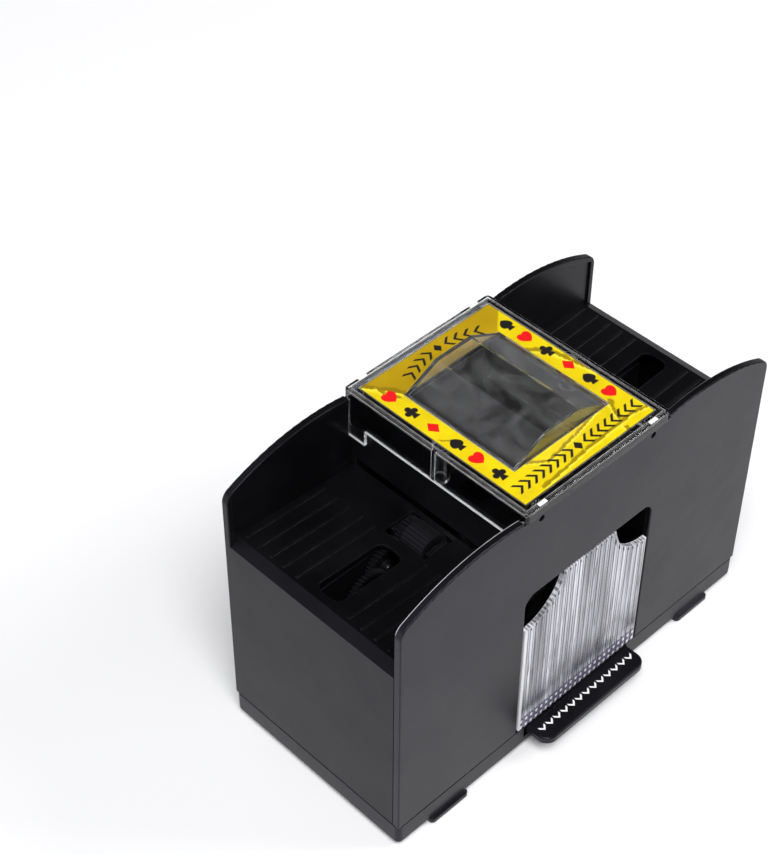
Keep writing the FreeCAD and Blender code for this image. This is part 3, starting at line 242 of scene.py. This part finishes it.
def clear_plastic(name, tint):
    """Clear polystyrene: dust, hairline scratches, faint whitish patches over the prism, painted highlights
    on the gate marks and edges, and front and back skirts painted dark.
    """
    m = Nodes(name)
    dust = m.ramp(m.noise(900, 4, 0.7), 0.5, 0.8)
    scratch = m.noise(240, 6, 0.8, stretch=(1, 7, 1), distort=1.2)
    across = m.math("ABSOLUTE", m.axis("X"))
    height = m.axis("Z")
    outward = m.math("ABSOLUTE", m.math("SUBTRACT", m.axis("Y"), CENTRE_Y*MM))
    low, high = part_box("top_cover")
    plate = COVER_TOP*MM
    # painted highlight on the raised gate marks beyond 29 mm out
    gate = m.times(m.ramp(height, plate + 0.02*MM, plate + 0.08*MM),
                   m.ramp(across, 29*MM, 30*MM))
    # painted highlight lines along the lower edges of the legs and, between them, of the side skirts
    skirt = low[2] + SKIRT_STEP*MM
    between = m.ramp(outward, LEG_IN*MM, (LEG_IN - 0.2)*MM)
    run = m.times(m.ramp(height, skirt - 0.2*MM, skirt),
                  m.ramp(height, skirt + 0.6*MM, skirt + 0.4*MM))
    rim_highlight_lines = m.math("MAXIMUM", m.ramp(height, low[2] + 0.6*MM, low[2] + 0.4*MM),
                 m.times(run, between))
    rim_highlight_lines = m.times(rim_highlight_lines, m.ramp(across, high[0] - 1.8*MM, high[0] - 1.6*MM))
    # painted highlights on sharp edges, weaker over the prism
    edge = m.times(m.edge_mask(0.00022), m.ramp(m.noise(150, 3), 0.25, 0.6, 0.4, 0.9))
    edge = m.times(edge, m.ramp(height, plate + 0.5*MM, plate + 1.5*MM, 1, 0.25))
    painted_highlights = m.math("MAXIMUM", m.math("MAXIMUM", gate, rim_highlight_lines), edge)
    # faint whitish swirling patches over the raised prism
    prism = m.ramp(height, plate + 0.3*MM, plate + 1.2*MM)
    whitish_patches = m.times(prism, m.ramp(m.noise(55, 4, 0.6, distort=1.5), 0.38, 0.66, 0.008, 0.05))
    # painted shade: the front and back skirts are painted dark, standing in for the black panels right behind
    # them
    shade = m.times(m.ramp(outward, 48*MM, 48.4*MM),
                    m.ramp(height, plate - 1*MM, plate - 1.6*MM))
    tone = m.mix(shade, m.mix(dust, tint, tuple(c*0.95 for c in tint)), (0.02, 0.02, 0.022))
    painted_highlights = m.times(painted_highlights, m.math("SUBTRACT", 1, m.times(shade, 0.85)))
    m.set(Base_Color=m.mix(m.math("MAXIMUM", painted_highlights, whitish_patches), tone, (1, 1, 1)),
          Roughness=m.ramp(scratch, 0.55, 0.85, 0.005, 0.08), IOR=1.36)
    # the painted highlights and the whitish patches let less light through
    highlight_and_patch_opacity = m.math("MAXIMUM", m.times(painted_highlights, 0.9), whitish_patches)
    m.feed(m.math("SUBTRACT", 1, highlight_and_patch_opacity), m.shader.inputs["Transmission Weight"])
    m.bumps([(m.noise(45, 2), 0.16, 0.0004), (scratch, 0.08, 0.00004)])
    return m.material


def fluted_plastic(name):
    """Clear tray with painted light and shade for its upright flutes: pale bands with dark lines, a dark
    cloud low down, a dark foot with bead highlights, dark dots and bright edges.
    """
    m = Nodes(name)
    low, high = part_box("output_tray")
    across, height = m.math("ABSOLUTE", m.axis("X")), m.axis("Z")
    flute = (high[0] - low[0])/FLUTES
    part = m.math("FRACT", m.math("DIVIDE", m.math("ADD", m.axis("X"), -low[0]), flute))
    aside = m.math("ABSOLUTE", m.math("SUBTRACT", part, 0.5))            # 0 on a crest, 0.5 in a valley
    streak = m.noise(900, 3, 0.6, stretch=(1, 1, 0.02))
    wide = m.noise(200, 2, 0.5, stretch=(1, 1, 0.06))
    front = m.ramp(m.axis("Y"), low[1] + 3*MM, low[1] + 2.6*MM)

    # painted light and shade for the flutes: pale bands with dark lines in the valleys and on the crests
    painted_light_bands = m.mix(m.ramp(wide, 0.35, 0.65), (0.4, 0.4, 0.44), (0.86, 0.86, 0.92))
    valley = m.times(m.ramp(aside, 0.34, 0.42), m.ramp(streak, 0.35, 0.65, 1, 0.7))
    crest = m.times(m.ramp(aside, 0.13, 0.06), m.ramp(streak, 0.4, 0.6, 0.9, 0.3))
    hair = m.ramp(m.noise(1500, 2, 0.5, stretch=(1, 1, 0.03)), 0.4, 0.34, 0, 0.8)
    dark = m.math("MAXIMUM", m.math("MAXIMUM", valley, crest), hair)
    tone = m.mix(dark, painted_light_bands, (0.06, 0.06, 0.075))

    # painted shade: dark cloud low down
    cloud = m.times(m.ramp(height, low[2] + 7*MM, low[2] + 12*MM),
                    m.ramp(height, low[2] + 30*MM, low[2] + 14*MM))
    cloud = m.times(cloud, m.ramp(m.noise(45, 2), 0.36, 0.54))
    tone = m.mix(m.times(cloud, 0.85), tone, (0.06, 0.06, 0.08))

    # painted shade along the foot, with two rows of painted bead highlights on it
    foot = m.ramp(height, low[2] + 8*MM, low[2] + 7*MM)
    tone = m.mix(m.times(foot, 0.9), tone, (0.1, 0.09, 0.17))
    bead_highlights = 0.0
    for level in (1.5, 5.2):
        up = m.math("DIVIDE", m.math("SUBTRACT", height, low[2] + level*MM), 1.1*MM)
        out = m.math("DIVIDE", aside, 0.26)
        reach = m.math("ADD", m.times(up, up), m.times(out, out))
        bead_highlights = m.math("MAXIMUM", bead_highlights, m.ramp(reach, 1.1, 0.3))
    tone = m.mix(bead_highlights, tone, (0.97, 0.97, 1))

    # painted shade in dark dots that follow the top edge and the finger scoops
    gap = m.math("SUBTRACT", high[2], height)
    centre, radius = scoop(high)
    arc = [m.math("SUBTRACT", across, centre[0]), m.math("SUBTRACT", height, centre[1])]
    arc = m.math("ADD", *[m.times(leg, leg) for leg in arc])
    arc = m.math("SUBTRACT", m.math("SQRT", arc), radius)
    inner = m.ramp(across, SCOOP_IN*MM - 0.1*MM, SCOOP_IN*MM + 0.1*MM)
    gap = m.math("ADD", m.times(gap, m.math("SUBTRACT", 1, inner)), m.times(arc, inner))
    beside = m.times(m.ramp(gap, 0.5*MM, 0.8*MM), m.ramp(gap, 2.1*MM, 1.7*MM))
    painted_dark_dots = m.times(beside, m.ramp(aside, 0.26, 0.34))
    tone = m.mix(painted_dark_dots, tone, (0.03, 0.03, 0.09))

    # painted highlights on the edges and ends
    ends = m.ramp(across, high[0] - 1.1*MM, high[0] - 0.8*MM)
    painted_highlights = m.math("MAXIMUM", m.times(m.edge_mask(0.0004), 0.8), m.times(ends, 0.75))
    tone = m.mix(painted_highlights, tone, (1, 1, 1))
    m.set(Base_Color=m.mix(front, (0.9, 0.9, 0.93), tone),
          Roughness=m.ramp(streak, 0.3, 0.7, 0.08, 0.25), IOR=1.45)
    clear = m.math("SUBTRACT", 1, m.times(front, m.ramp(wide, 0.3, 0.7, 0.6, 0.85)))
    m.feed(clear, m.shader.inputs["Transmission Weight"])
    m.bumps([(m.noise(70, 2), 0.2, 0.0004), (streak, 0.2, 0.0001)])
    return m.material


def scoop(corner):
    """Centre and radius of the finger scoop's arc in the tray's front, in metres."""
    (ax, az), (bx, bz) = (corner[0]/MM, SCOOP_LOW), (SCOOP_IN, corner[2]/MM)
    chord = math.hypot(ax - bx, az - bz)
    rise = math.sqrt(SCOOP_RADIUS**2 - chord**2/4)
    middle = ((ax + bx)/2, (az + bz)/2)
    out = ((bz - az)/chord, (ax - bx)/chord)
    return ((middle[0] + out[0]*rise)*MM, (middle[1] + out[1]*rise)*MM), SCOOP_RADIUS*MM


def foil(name):
    """Yellow printed foil with a painted darker reflection in deeper gold over the back band, painted shade
    and highlight beside the creases, and a soft metallic sheen.
    """
    m = Nodes(name)
    x = m.axis("X")
    # painted reflection: beyond a line with slanted ends, the back band is a deeper gold
    back = m.math("SUBTRACT", m.axis("Y"), (30.2 + CENTRE_Y)*MM)
    left = m.math("MAXIMUM", m.math("SUBTRACT", -27*MM, x), 0.0)
    right = m.math("MAXIMUM", m.math("SUBTRACT", x, 27*MM), 0.0)
    back = m.math("SUBTRACT", back, m.times(left, 1.475))
    back = m.math("SUBTRACT", back, m.times(right, 0.9))
    cloud = m.noise(60, 3, 0.6)
    dark_reflection_gold = m.mix(m.ramp(cloud, 0.35, 0.65), (0.46, 0.29, 0.004), (0.52, 0.34, 0.004))
    yellow = m.mix(m.ramp(cloud, 0.35, 0.65), (0.78, 0.58, 0.004), (0.9, 0.71, 0.005))
    tone = m.mix(m.ramp(back, -0.5*MM, 0.6*MM), yellow, dark_reflection_gold)
    # painted shade on one side of each crease and painted highlight on the other
    painted_crease_light = m.new("ShaderNodeAttribute", attribute_name="crease_light_and_shade").outputs["Fac"]
    tone = m.mix(m.times(m.ramp(painted_crease_light, 0.02, 0.3), 0.8), tone, (0.26, 0.16, 0.003))
    tone = m.mix(m.times(m.ramp(painted_crease_light, -0.35, -0.9), 0.85), tone, (1, 0.9, 0.08))
    m.set(Base_Color=tone, Metallic=0.12,
          Roughness=m.ramp(m.noise(700, 3), 0.3, 0.7, 0.28, 0.4), IOR=1.5)
    m.bumps([(m.noise(220, 3), 0.25, 0.00012)])
    return m.material


def ink(name, tone):
    """Printed ink: slightly uneven cover with a satin surface."""
    m = Nodes(name)
    light = tuple(min(1, c*1.15 + 0.004) for c in tone)
    m.set(Base_Color=m.mix(m.ramp(m.noise(1500, 3), 0.4, 0.7), tone, light),
          Roughness=m.ramp(m.noise(800, 2), 0.3, 0.7, 0.35, 0.5), IOR=1.45)
    m.bumps([(m.noise(1800, 2), 0.15, 0.00002)])
    return m.material


def metal(name, tone, rough):
    """Drawn, turned or plated metal with streaks along its axis."""
    m = Nodes(name)
    streak = m.noise(900, 3, 0.6, stretch=(1, 30, 1))
    m.set(Base_Color=m.mix(streak, tuple(c*0.75 for c in tone), tone), Metallic=1.0,
          Roughness=m.ramp(streak, 0.3, 0.7, rough, rough + 0.15))
    m.bumps([(streak, 0.15, 0.00003)], 0.0001)
    return m.material


def assign(material, *names):
    for name in names:
        data = NODES[name].data
        data.materials.clear()
        data.materials.append(material)


# ---------------------------------------------------------------- label and printed marks

# each suit says whether a point is inside it, in a square of about -1.35 to 1.35

def heart(x, y):
    return (x*x + y*y - 1)**3 - x*x*y**3 <= 0


def stem(x, y):
    return -1.35 < y < -0.2 and abs(x) < 0.08 + 0.42*(-y - 0.2)**2


def spade(x, y):
    return heart(x/0.86, (0.3 - y)/0.82) or stem(x, y)


def club(x, y):
    lobes = ((0, 0.58), (-0.6, -0.15), (0.6, -0.15))
    return stem(x, y) or any(math.hypot(x - a, y - b) < 0.48 for a, b in lobes)


def diamond(x, y):
    return abs(x)/0.95 + abs(y)/1.2 < 1


def outline(inside, centre, size):
    """Corner points of a mark that can be seen whole from its middle, found along rays from there."""
    rays, spots = 72, []
    for count in range(rays):
        angle = 2*math.pi*count/rays
        across, along = math.cos(angle), math.sin(angle)
        reach = next((r/100 for r in range(160, 4, -1) if inside(across*r/100, along*r/100)), 0.05)
        spots.append((centre[0] + size*reach*across, centre[1] + size*reach*along))
    return spots


def chevron(centre, size, stroke, turn):
    """Outline of a V whose point faces the angle turn."""
    half, arm = stroke*0.7, size/2
    shape = [(arm*0.55, 0), (-arm*0.45, arm), (-arm*0.45 - 2*half, arm), (arm*0.55 - 2*half, 0),
             (-arm*0.45 - 2*half, -arm), (-arm*0.45, -arm)]
    cos, sin = math.cos(turn), math.sin(turn)
    return [(centre[0] + x*cos - y*sin, centre[1] + x*sin + y*cos) for x, y in shape]


def printed(name, shapes, low, high, material, body):
    """Thin closed layer of ink for flat outlines in millimetres; low and high give heights over (x, y)."""
    mesh = bmesh.new()
    for spots in shapes:
        top = [mesh.verts.new((x*MM, (y + CENTRE_Y)*MM, high(x, y)*MM)) for x, y in spots]
        base = [mesh.verts.new((x*MM, (y + CENTRE_Y)*MM, low(x, y)*MM)) for x, y in spots]
        for triple in tessellate_polygon([[Vector((x, y, 0)) for x, y in spots]]):
            mesh.faces.new([top[i] for i in triple])
            mesh.faces.new([base[i] for i in reversed(triple)])
        for i in range(len(spots)):
            j = (i + 1) % len(spots)
            mesh.faces.new([top[i], top[j], base[j], base[i]])
    piece(name, mesh, material, body)


def piece(name, mesh, material, body):
    """Turns a finished bmesh into a named piece that rides on a body."""
    bmesh.ops.recalc_face_normals(mesh, faces=mesh.faces)
    data = bpy.data.meshes.new(name)
    mesh.to_mesh(data)
    mesh.free()
    data.materials.append(material)
    made = bpy.data.objects.new(name, data)
    bpy.context.scene.collection.objects.link(made)
    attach(made, body)
    return made


# creases of the stuck-down foil: points along each, half width, height, all in millimetres
CREASES = (
    (((-37, 44.7), (-31.5, 37), (-27.4, 30.5)), 1.5, 0.3),
    (((-33, 39.2), (-33.6, 34), (-30.6, 30.2)), 1.1, 0.22),
    (((-35.9, 1.4), (-33.4, -1.4)), 0.5, 0.16),
    (((28, 12.4), (33, 7.5), (35.1, -4.1), (36.9, -13.3)), 1.6, 0.26),
    (((27.7, -29), (24.5, -35), (21, -44)), 1.4, 0.24),
    (((-22.3, -29.8), (-13.8, -35.8), (5.4, -33), (18.9, -30.1)), 0.9, 0.2),
    (((-24.8, -44), (2, -41.6), (29.6, -40.6), (37, -42)), 1.1, 0.2),
)

# x of each row of suits, their y places, and the suits from back to front
SUIT_ROWS = (
    (-32.3, (32, 21, 8.5, -4, -15.8, -26.4), (heart, club, diamond, spade, heart, club)),
    (32.8, (31, 19.4, 8.8, -3.5, -14.5, -26.1), (spade, heart, club, diamond, spade, heart)),
)

# x, y, which way the chevron points and how far it leans, in rows either side of a lozenge
FRONT_LOZENGE, BACK_LOZENGE = (0.8, -37.3), (2.2, 40.2)
FRONT_ROW = [(FRONT_LOZENGE[0] + side*(0.6 + count*4), FRONT_LOZENGE[1], side, 0)
             for count in range(1, 9) for side in (-1, 1)]
BACK_ROW = [(BACK_LOZENGE[0] + side*(0.6 + count*4.6), BACK_LOZENGE[1] - 0.011*(count*4.6)**2,
             side, side*count*0.1) for count in range(1, 5) for side in (-1, 1)]
MARK_SPOTS = [(x, y) for x, places, kinds in SUIT_ROWS for y in places] + [
    spot[:2] for spot in FRONT_ROW + BACK_ROW]


def to_line(x, y, ends):
    """Distance from a point to the stretch of line between two ends."""
    (ax, ay), (bx, by) = ends
    dx, dy = bx - ax, by - ay
    part = max(0, min(1, ((x - ax)*dx + (y - ay)*dy)/(dx*dx + dy*dy)))
    return math.hypot(x - ax - part*dx, y - ay - part*dy)


def foil_height(x, y):
    return foil_shape(x, y)[0]


def foil_shape(x, y):
    """Height of the foil, and how far it is creased there: above 0 painted shade, below 0 painted highlight.
    """
    height, crease_light_and_shade = LABEL_TOP + 0.05*noise(Vector((x*0.11, y*0.11, 3.7))), 0
    nearest = min(math.hypot(x - mark[0], y - mark[1]) for mark in MARK_SPOTS)
    calm = max(0.1, min(1, (nearest - 2.7)/1.2))          # creases flatten out under the marks
    for spots, width, rise in CREASES:
        for (ax, ay), (bx, by) in zip(spots, spots[1:]):
            away = to_line(x, y, ((ax, ay), (bx, by)))
            ragged = 1.7*width*(1 + 0.7*noise(Vector((x*0.35, y*0.35, 9.1))))
            if away < ragged:
                slope = 1 - away/ragged
                height += calm*rise*slope/2
                painted_shade_side = (bx - ax)*(y - ay) - (by - ay)*(x - ax) > 0
                crease_light_and_shade = slope if painted_shade_side else min(crease_light_and_shade, -slope)
    return height, crease_light_and_shade


def label():
    """Foil frame round the raised prism, as one closed creased sheet, in place of the plain solid."""
    step, half_x, half_y, hole_x, hole_y = 0.5, 74, 89, 55, 60     # the last four in steps
    mesh = bmesh.new()
    spots = {}

    def corner(i, j, low):
        key = (i, j, low)
        if key not in spots:
            x, y = i*step, j*step*LABEL_Y/(half_y*step)
            z = LABEL_TOP - FOIL_THICK if low else foil_height(x, y)
            spots[key] = mesh.verts.new((x*MM, (y + CENTRE_Y)*MM, z*MM))
        return spots[key]

    def solid(i, j):
        inside = -half_x <= i < half_x and -half_y <= j < half_y
        return inside and not (-hole_x <= i < hole_x and -hole_y <= j < hole_y)

    for i in range(-half_x, half_x):
        for j in range(-half_y, half_y):
            if not solid(i, j):
                continue
            ring = [(i, j), (i + 1, j), (i + 1, j + 1), (i, j + 1)]
            mesh.faces.new([corner(a, b, False) for a, b in ring])
            mesh.faces.new([corner(a, b, True) for a, b in reversed(ring)])
            for side, (a, b) in zip(((0, -1), (1, 0), (0, 1), (-1, 0)), zip(ring, ring[1:] + ring[:1])):
                if not solid(i + side[0], j + side[1]):
                    mesh.faces.new([corner(*b, False), corner(*a, False), corner(*a, True), corner(*b, True)])
    foil_piece = piece("label_foil", mesh, FOIL, "cover")
    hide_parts("cover_label")
    # painted crease light and shade: above 0 shade, below 0 highlight
    crease_light_and_shade = foil_piece.data.attributes.new("crease_light_and_shade", "FLOAT", "POINT")
    for vert in foil_piece.data.vertices:
        crease_light_and_shade.data[vert.index].value = foil_shape(vert.co.x/MM, vert.co.y/MM - CENTRE_Y)[1]


def label_marks():
    """Card suits down both sides, and plain rows of chevrons towards a lozenge at the front and back."""
    red, black = [], []
    for x, places, kinds in SUIT_ROWS:
        for y, kind in zip(places, kinds):
            (red if kind in (heart, diamond) else black).append(outline(kind, (x, y), SUIT_SIZE))
    for x, y, side, lean in FRONT_ROW + BACK_ROW:
        black.append(chevron((x, y), 5.6, 1.05, (math.pi if side > 0 else 0) - lean))
    black += [outline(diamond, FRONT_LOZENGE, 2.1), outline(diamond, BACK_LOZENGE, 2)]
    above = lambda x, y: foil_height(x, y) + INK_RISE
    below = lambda x, y: LABEL_TOP - 0.1
    printed("label_black_marks", black, below, above, BLACK_INK, "cover")
    printed("label_red_marks", red, below, above, RED_INK, "cover")


def button_marks():
    """Row of small chevrons along the press plate, pointing to its free edge."""
    shapes = [chevron((BUTTON_MARK_START + BUTTON_MARK_STEP*count, BUTTON_MARK_Y), 3.6, 0.8, -math.pi/2)
              for count in range(BUTTON_MARKS)]
    printed("button_marks", shapes, lambda x, y: BUTTON_TOP - 0.06, lambda x, y: BUTTON_TOP + INK_RISE,
            WHITE_INK, "button")


# ---------------------------------------------------------------- lights and floor

def soft_light(name, spot, size, watts):
    """Rectangular area light that faces the object."""
    data = bpy.data.lights.new(name, "AREA")
    data.shape = "RECTANGLE"
    data.size, data.size_y = size
    data.energy = watts
    light = bpy.data.objects.new(name, data)
    bpy.context.scene.collection.objects.link(light)
    light.location = spot
    light.rotation_euler = (Vector(LIGHT_AIM) - Vector(spot)).to_track_quat("-Z", "Y").to_euler()


def sky():
    """Grey surroundings, brightest low down behind the object and fading to the right."""
    world = bpy.data.worlds.new("studio")
    world.use_nodes = True
    bpy.context.scene.world = world
    tree = world.node_tree
    place = tree.nodes.new("ShaderNodeTexCoord")
    split = tree.nodes.new("ShaderNodeSeparateXYZ")
    tree.links.new(place.outputs["Generated"], split.inputs["Vector"])

    def ramp(letter, low, high, start, end):
        node = tree.nodes.new("ShaderNodeMapRange")
        for key, number in zip(("From Min", "From Max", "To Min", "To Max"), (low, high, start, end)):
            node.inputs[key].default_value = number
        tree.links.new(split.outputs[letter], node.inputs["Value"])
        return node.outputs["Result"]

    def join(operation, first, second):
        node = tree.nodes.new("ShaderNodeMath")
        node.operation = operation
        tree.links.new(first, node.inputs[0])
        tree.links.new(second, node.inputs[1])
        return node.outputs["Value"]

    horizon = join("MULTIPLY", ramp("Z", 0.1, 0.3, 1, 0), ramp("Y", -0.1, 0.6, 0.4, 3))
    horizon = join("MULTIPLY", horizon, ramp("X", 0.55, 0.72, 1, 0.06))
    strength = join("ADD", horizon, ramp("X", -0.2, 0.35, 0.62, 0.04))
    background = tree.nodes["Background"]
    background.inputs["Color"].default_value = (0.95, 0.95, 1, 1)
    tree.links.new(strength, background.inputs["Strength"])


def paper_floor():
    """Plain pale floor that darkens far from the object."""
    half = 6
    mesh = bpy.data.meshes.new("floor")
    corners = [(-half, -half, 0), (half, -half, 0), (half, half, 0), (-half, half, 0)]
    mesh.from_pydata(corners, [], [(0, 1, 2, 3)])
    floor = bpy.data.objects.new("floor", mesh)
    bpy.context.scene.collection.objects.link(floor)
    m = Nodes("floor_paper")
    away = m.new("ShaderNodeVectorMath", operation="LENGTH")
    m.feed(m.place, away.inputs[0])
    paper = m.mix(m.noise(3, 2), (0.87, 0.87, 0.88), (0.9, 0.9, 0.9))
    m.set(Base_Color=m.mix(m.ramp(away.outputs["Value"], 0.9, 1.8), paper, (0.42, 0.42, 0.43)),
          Roughness=0.8)
    m.bumps([(m.noise(400, 3), 0.05, 0.0001)])
    mesh.materials.append(m.material)


def studio():
    sky()
    soft_light("key", (-1.1, -1.3, 3.3), (1.7, 1.4), 108)
    soft_light("fill", (2.2, -1.7, 1.9), (1.4, 1.4), 50)
    paper_floor()


# ---------------------------------------------------------------- springs under the button

def button_coils():
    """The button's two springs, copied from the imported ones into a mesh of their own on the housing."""
    coils = bpy.data.objects.new("button_spring_coils", NODES["button_springs"].data.copy())
    bpy.context.scene.collection.objects.link(coils)
    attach(coils, "housing")
    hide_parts("button_springs")
    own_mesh(coils)


# ---------------------------------------------------------------- making

add_camera()
studio()

BODY = moulded("body_plastic", *BLACK, SATIN)
INNER = moulded("inner_plastic", (0.0015, 0.0015, 0.0018), (0.003, 0.003, 0.0033), 0.5)
# panel plastic: stronger lighter edges, partly wear and partly painted highlight, and a painted highlight
# line along the inner rim corner
PANEL = moulded("panel_plastic", *BLACK, SATIN, wear_and_highlight=0.7, wear_and_highlight_tone=0.3,
                painted_highlight_y=(CENTRE_Y - RIM_INNER)*MM)
HOPPER = moulded("hopper_plastic", *BLACK, SATIN, ior=1.28)
GATE = moulded("gate_plastic", (0.004, 0.004, 0.0045), (0.007, 0.007, 0.0075), 0.38)
BUTTON = moulded("button_plastic", (0.002, 0.002, 0.002), (0.0035, 0.0035, 0.004), 0.3)
RUBBER = moulded("rubber", (0.0025, 0.0025, 0.0025), (0.005, 0.005, 0.005), 0.75, 0.6, wear_and_highlight=0.08)
GEAR = moulded("gear_acetal", (0.0015, 0.0015, 0.0015), (0.003, 0.003, 0.003), 0.55, wear_and_highlight=0.05)
NYLON = moulded("motor_nylon", (0.62, 0.61, 0.57), (0.7, 0.69, 0.66), 0.45)
RED = moulded("plunger_plastic", (0.4, 0.02, 0.015), (0.5, 0.035, 0.02), 0.4)
CLEAR = clear_plastic("cover_clear", (0.97, 0.98, 0.98))
TRAY = fluted_plastic("tray_clear")
FOIL = foil("label_foil")
BLACK_INK = ink("black_ink", (0.008, 0.007, 0.006))
RED_INK = ink("red_ink", (0.72, 0.005, 0.006))
WHITE_INK = ink("white_ink", (0.8, 0.8, 0.8))
STEEL = metal("ground_steel", (0.62, 0.62, 0.63), 0.2)
CAN = metal("motor_steel", (0.6, 0.6, 0.58), 0.3)
NICKEL = metal("nickel", (0.72, 0.71, 0.68), 0.18)
BRASS = metal("brass", (0.72, 0.52, 0.22), 0.22)

assign(BODY, "base_tray", "battery_door", "foot_pads")
assign(PANEL, "front_panel")
assign(HOPPER, "back_panel")
assign(BUTTON, "operate_button")
assign(STEEL, "base_screws", "button_pivot_pin", "button_springs", "battery_springs")
assign(NICKEL, "battery_plates")
assign(INNER, "switch_body")
assign(RED, "switch_plunger")
assign(CLEAR, "top_cover")
assign(TRAY, "output_tray")
for side in SIDES:
    assign(HOPPER, f"{side}_hopper")
    assign(GATE, f"{side}_card_gate")
    assign(INNER, f"{side}_drive_frame", f"{side}_shaft_bushes")
    assign(RUBBER, f"{side}_feed_roller")
    assign(GEAR, f"{side}_roller_gear", f"{side}_transfer_gear", f"{side}_compound_gear")
    assign(BRASS, f"{side}_motor_pinion")
    assign(STEEL, f"{side}_frame_screws", f"{side}_gear_pins", f"{side}_feed_shaft", f"{side}_motor_shaft")
    assign(CAN, f"{side}_motor_can")
    assign(NYLON, f"{side}_motor_end_cap")

label()
label_marks()
button_marks()
button_coils()
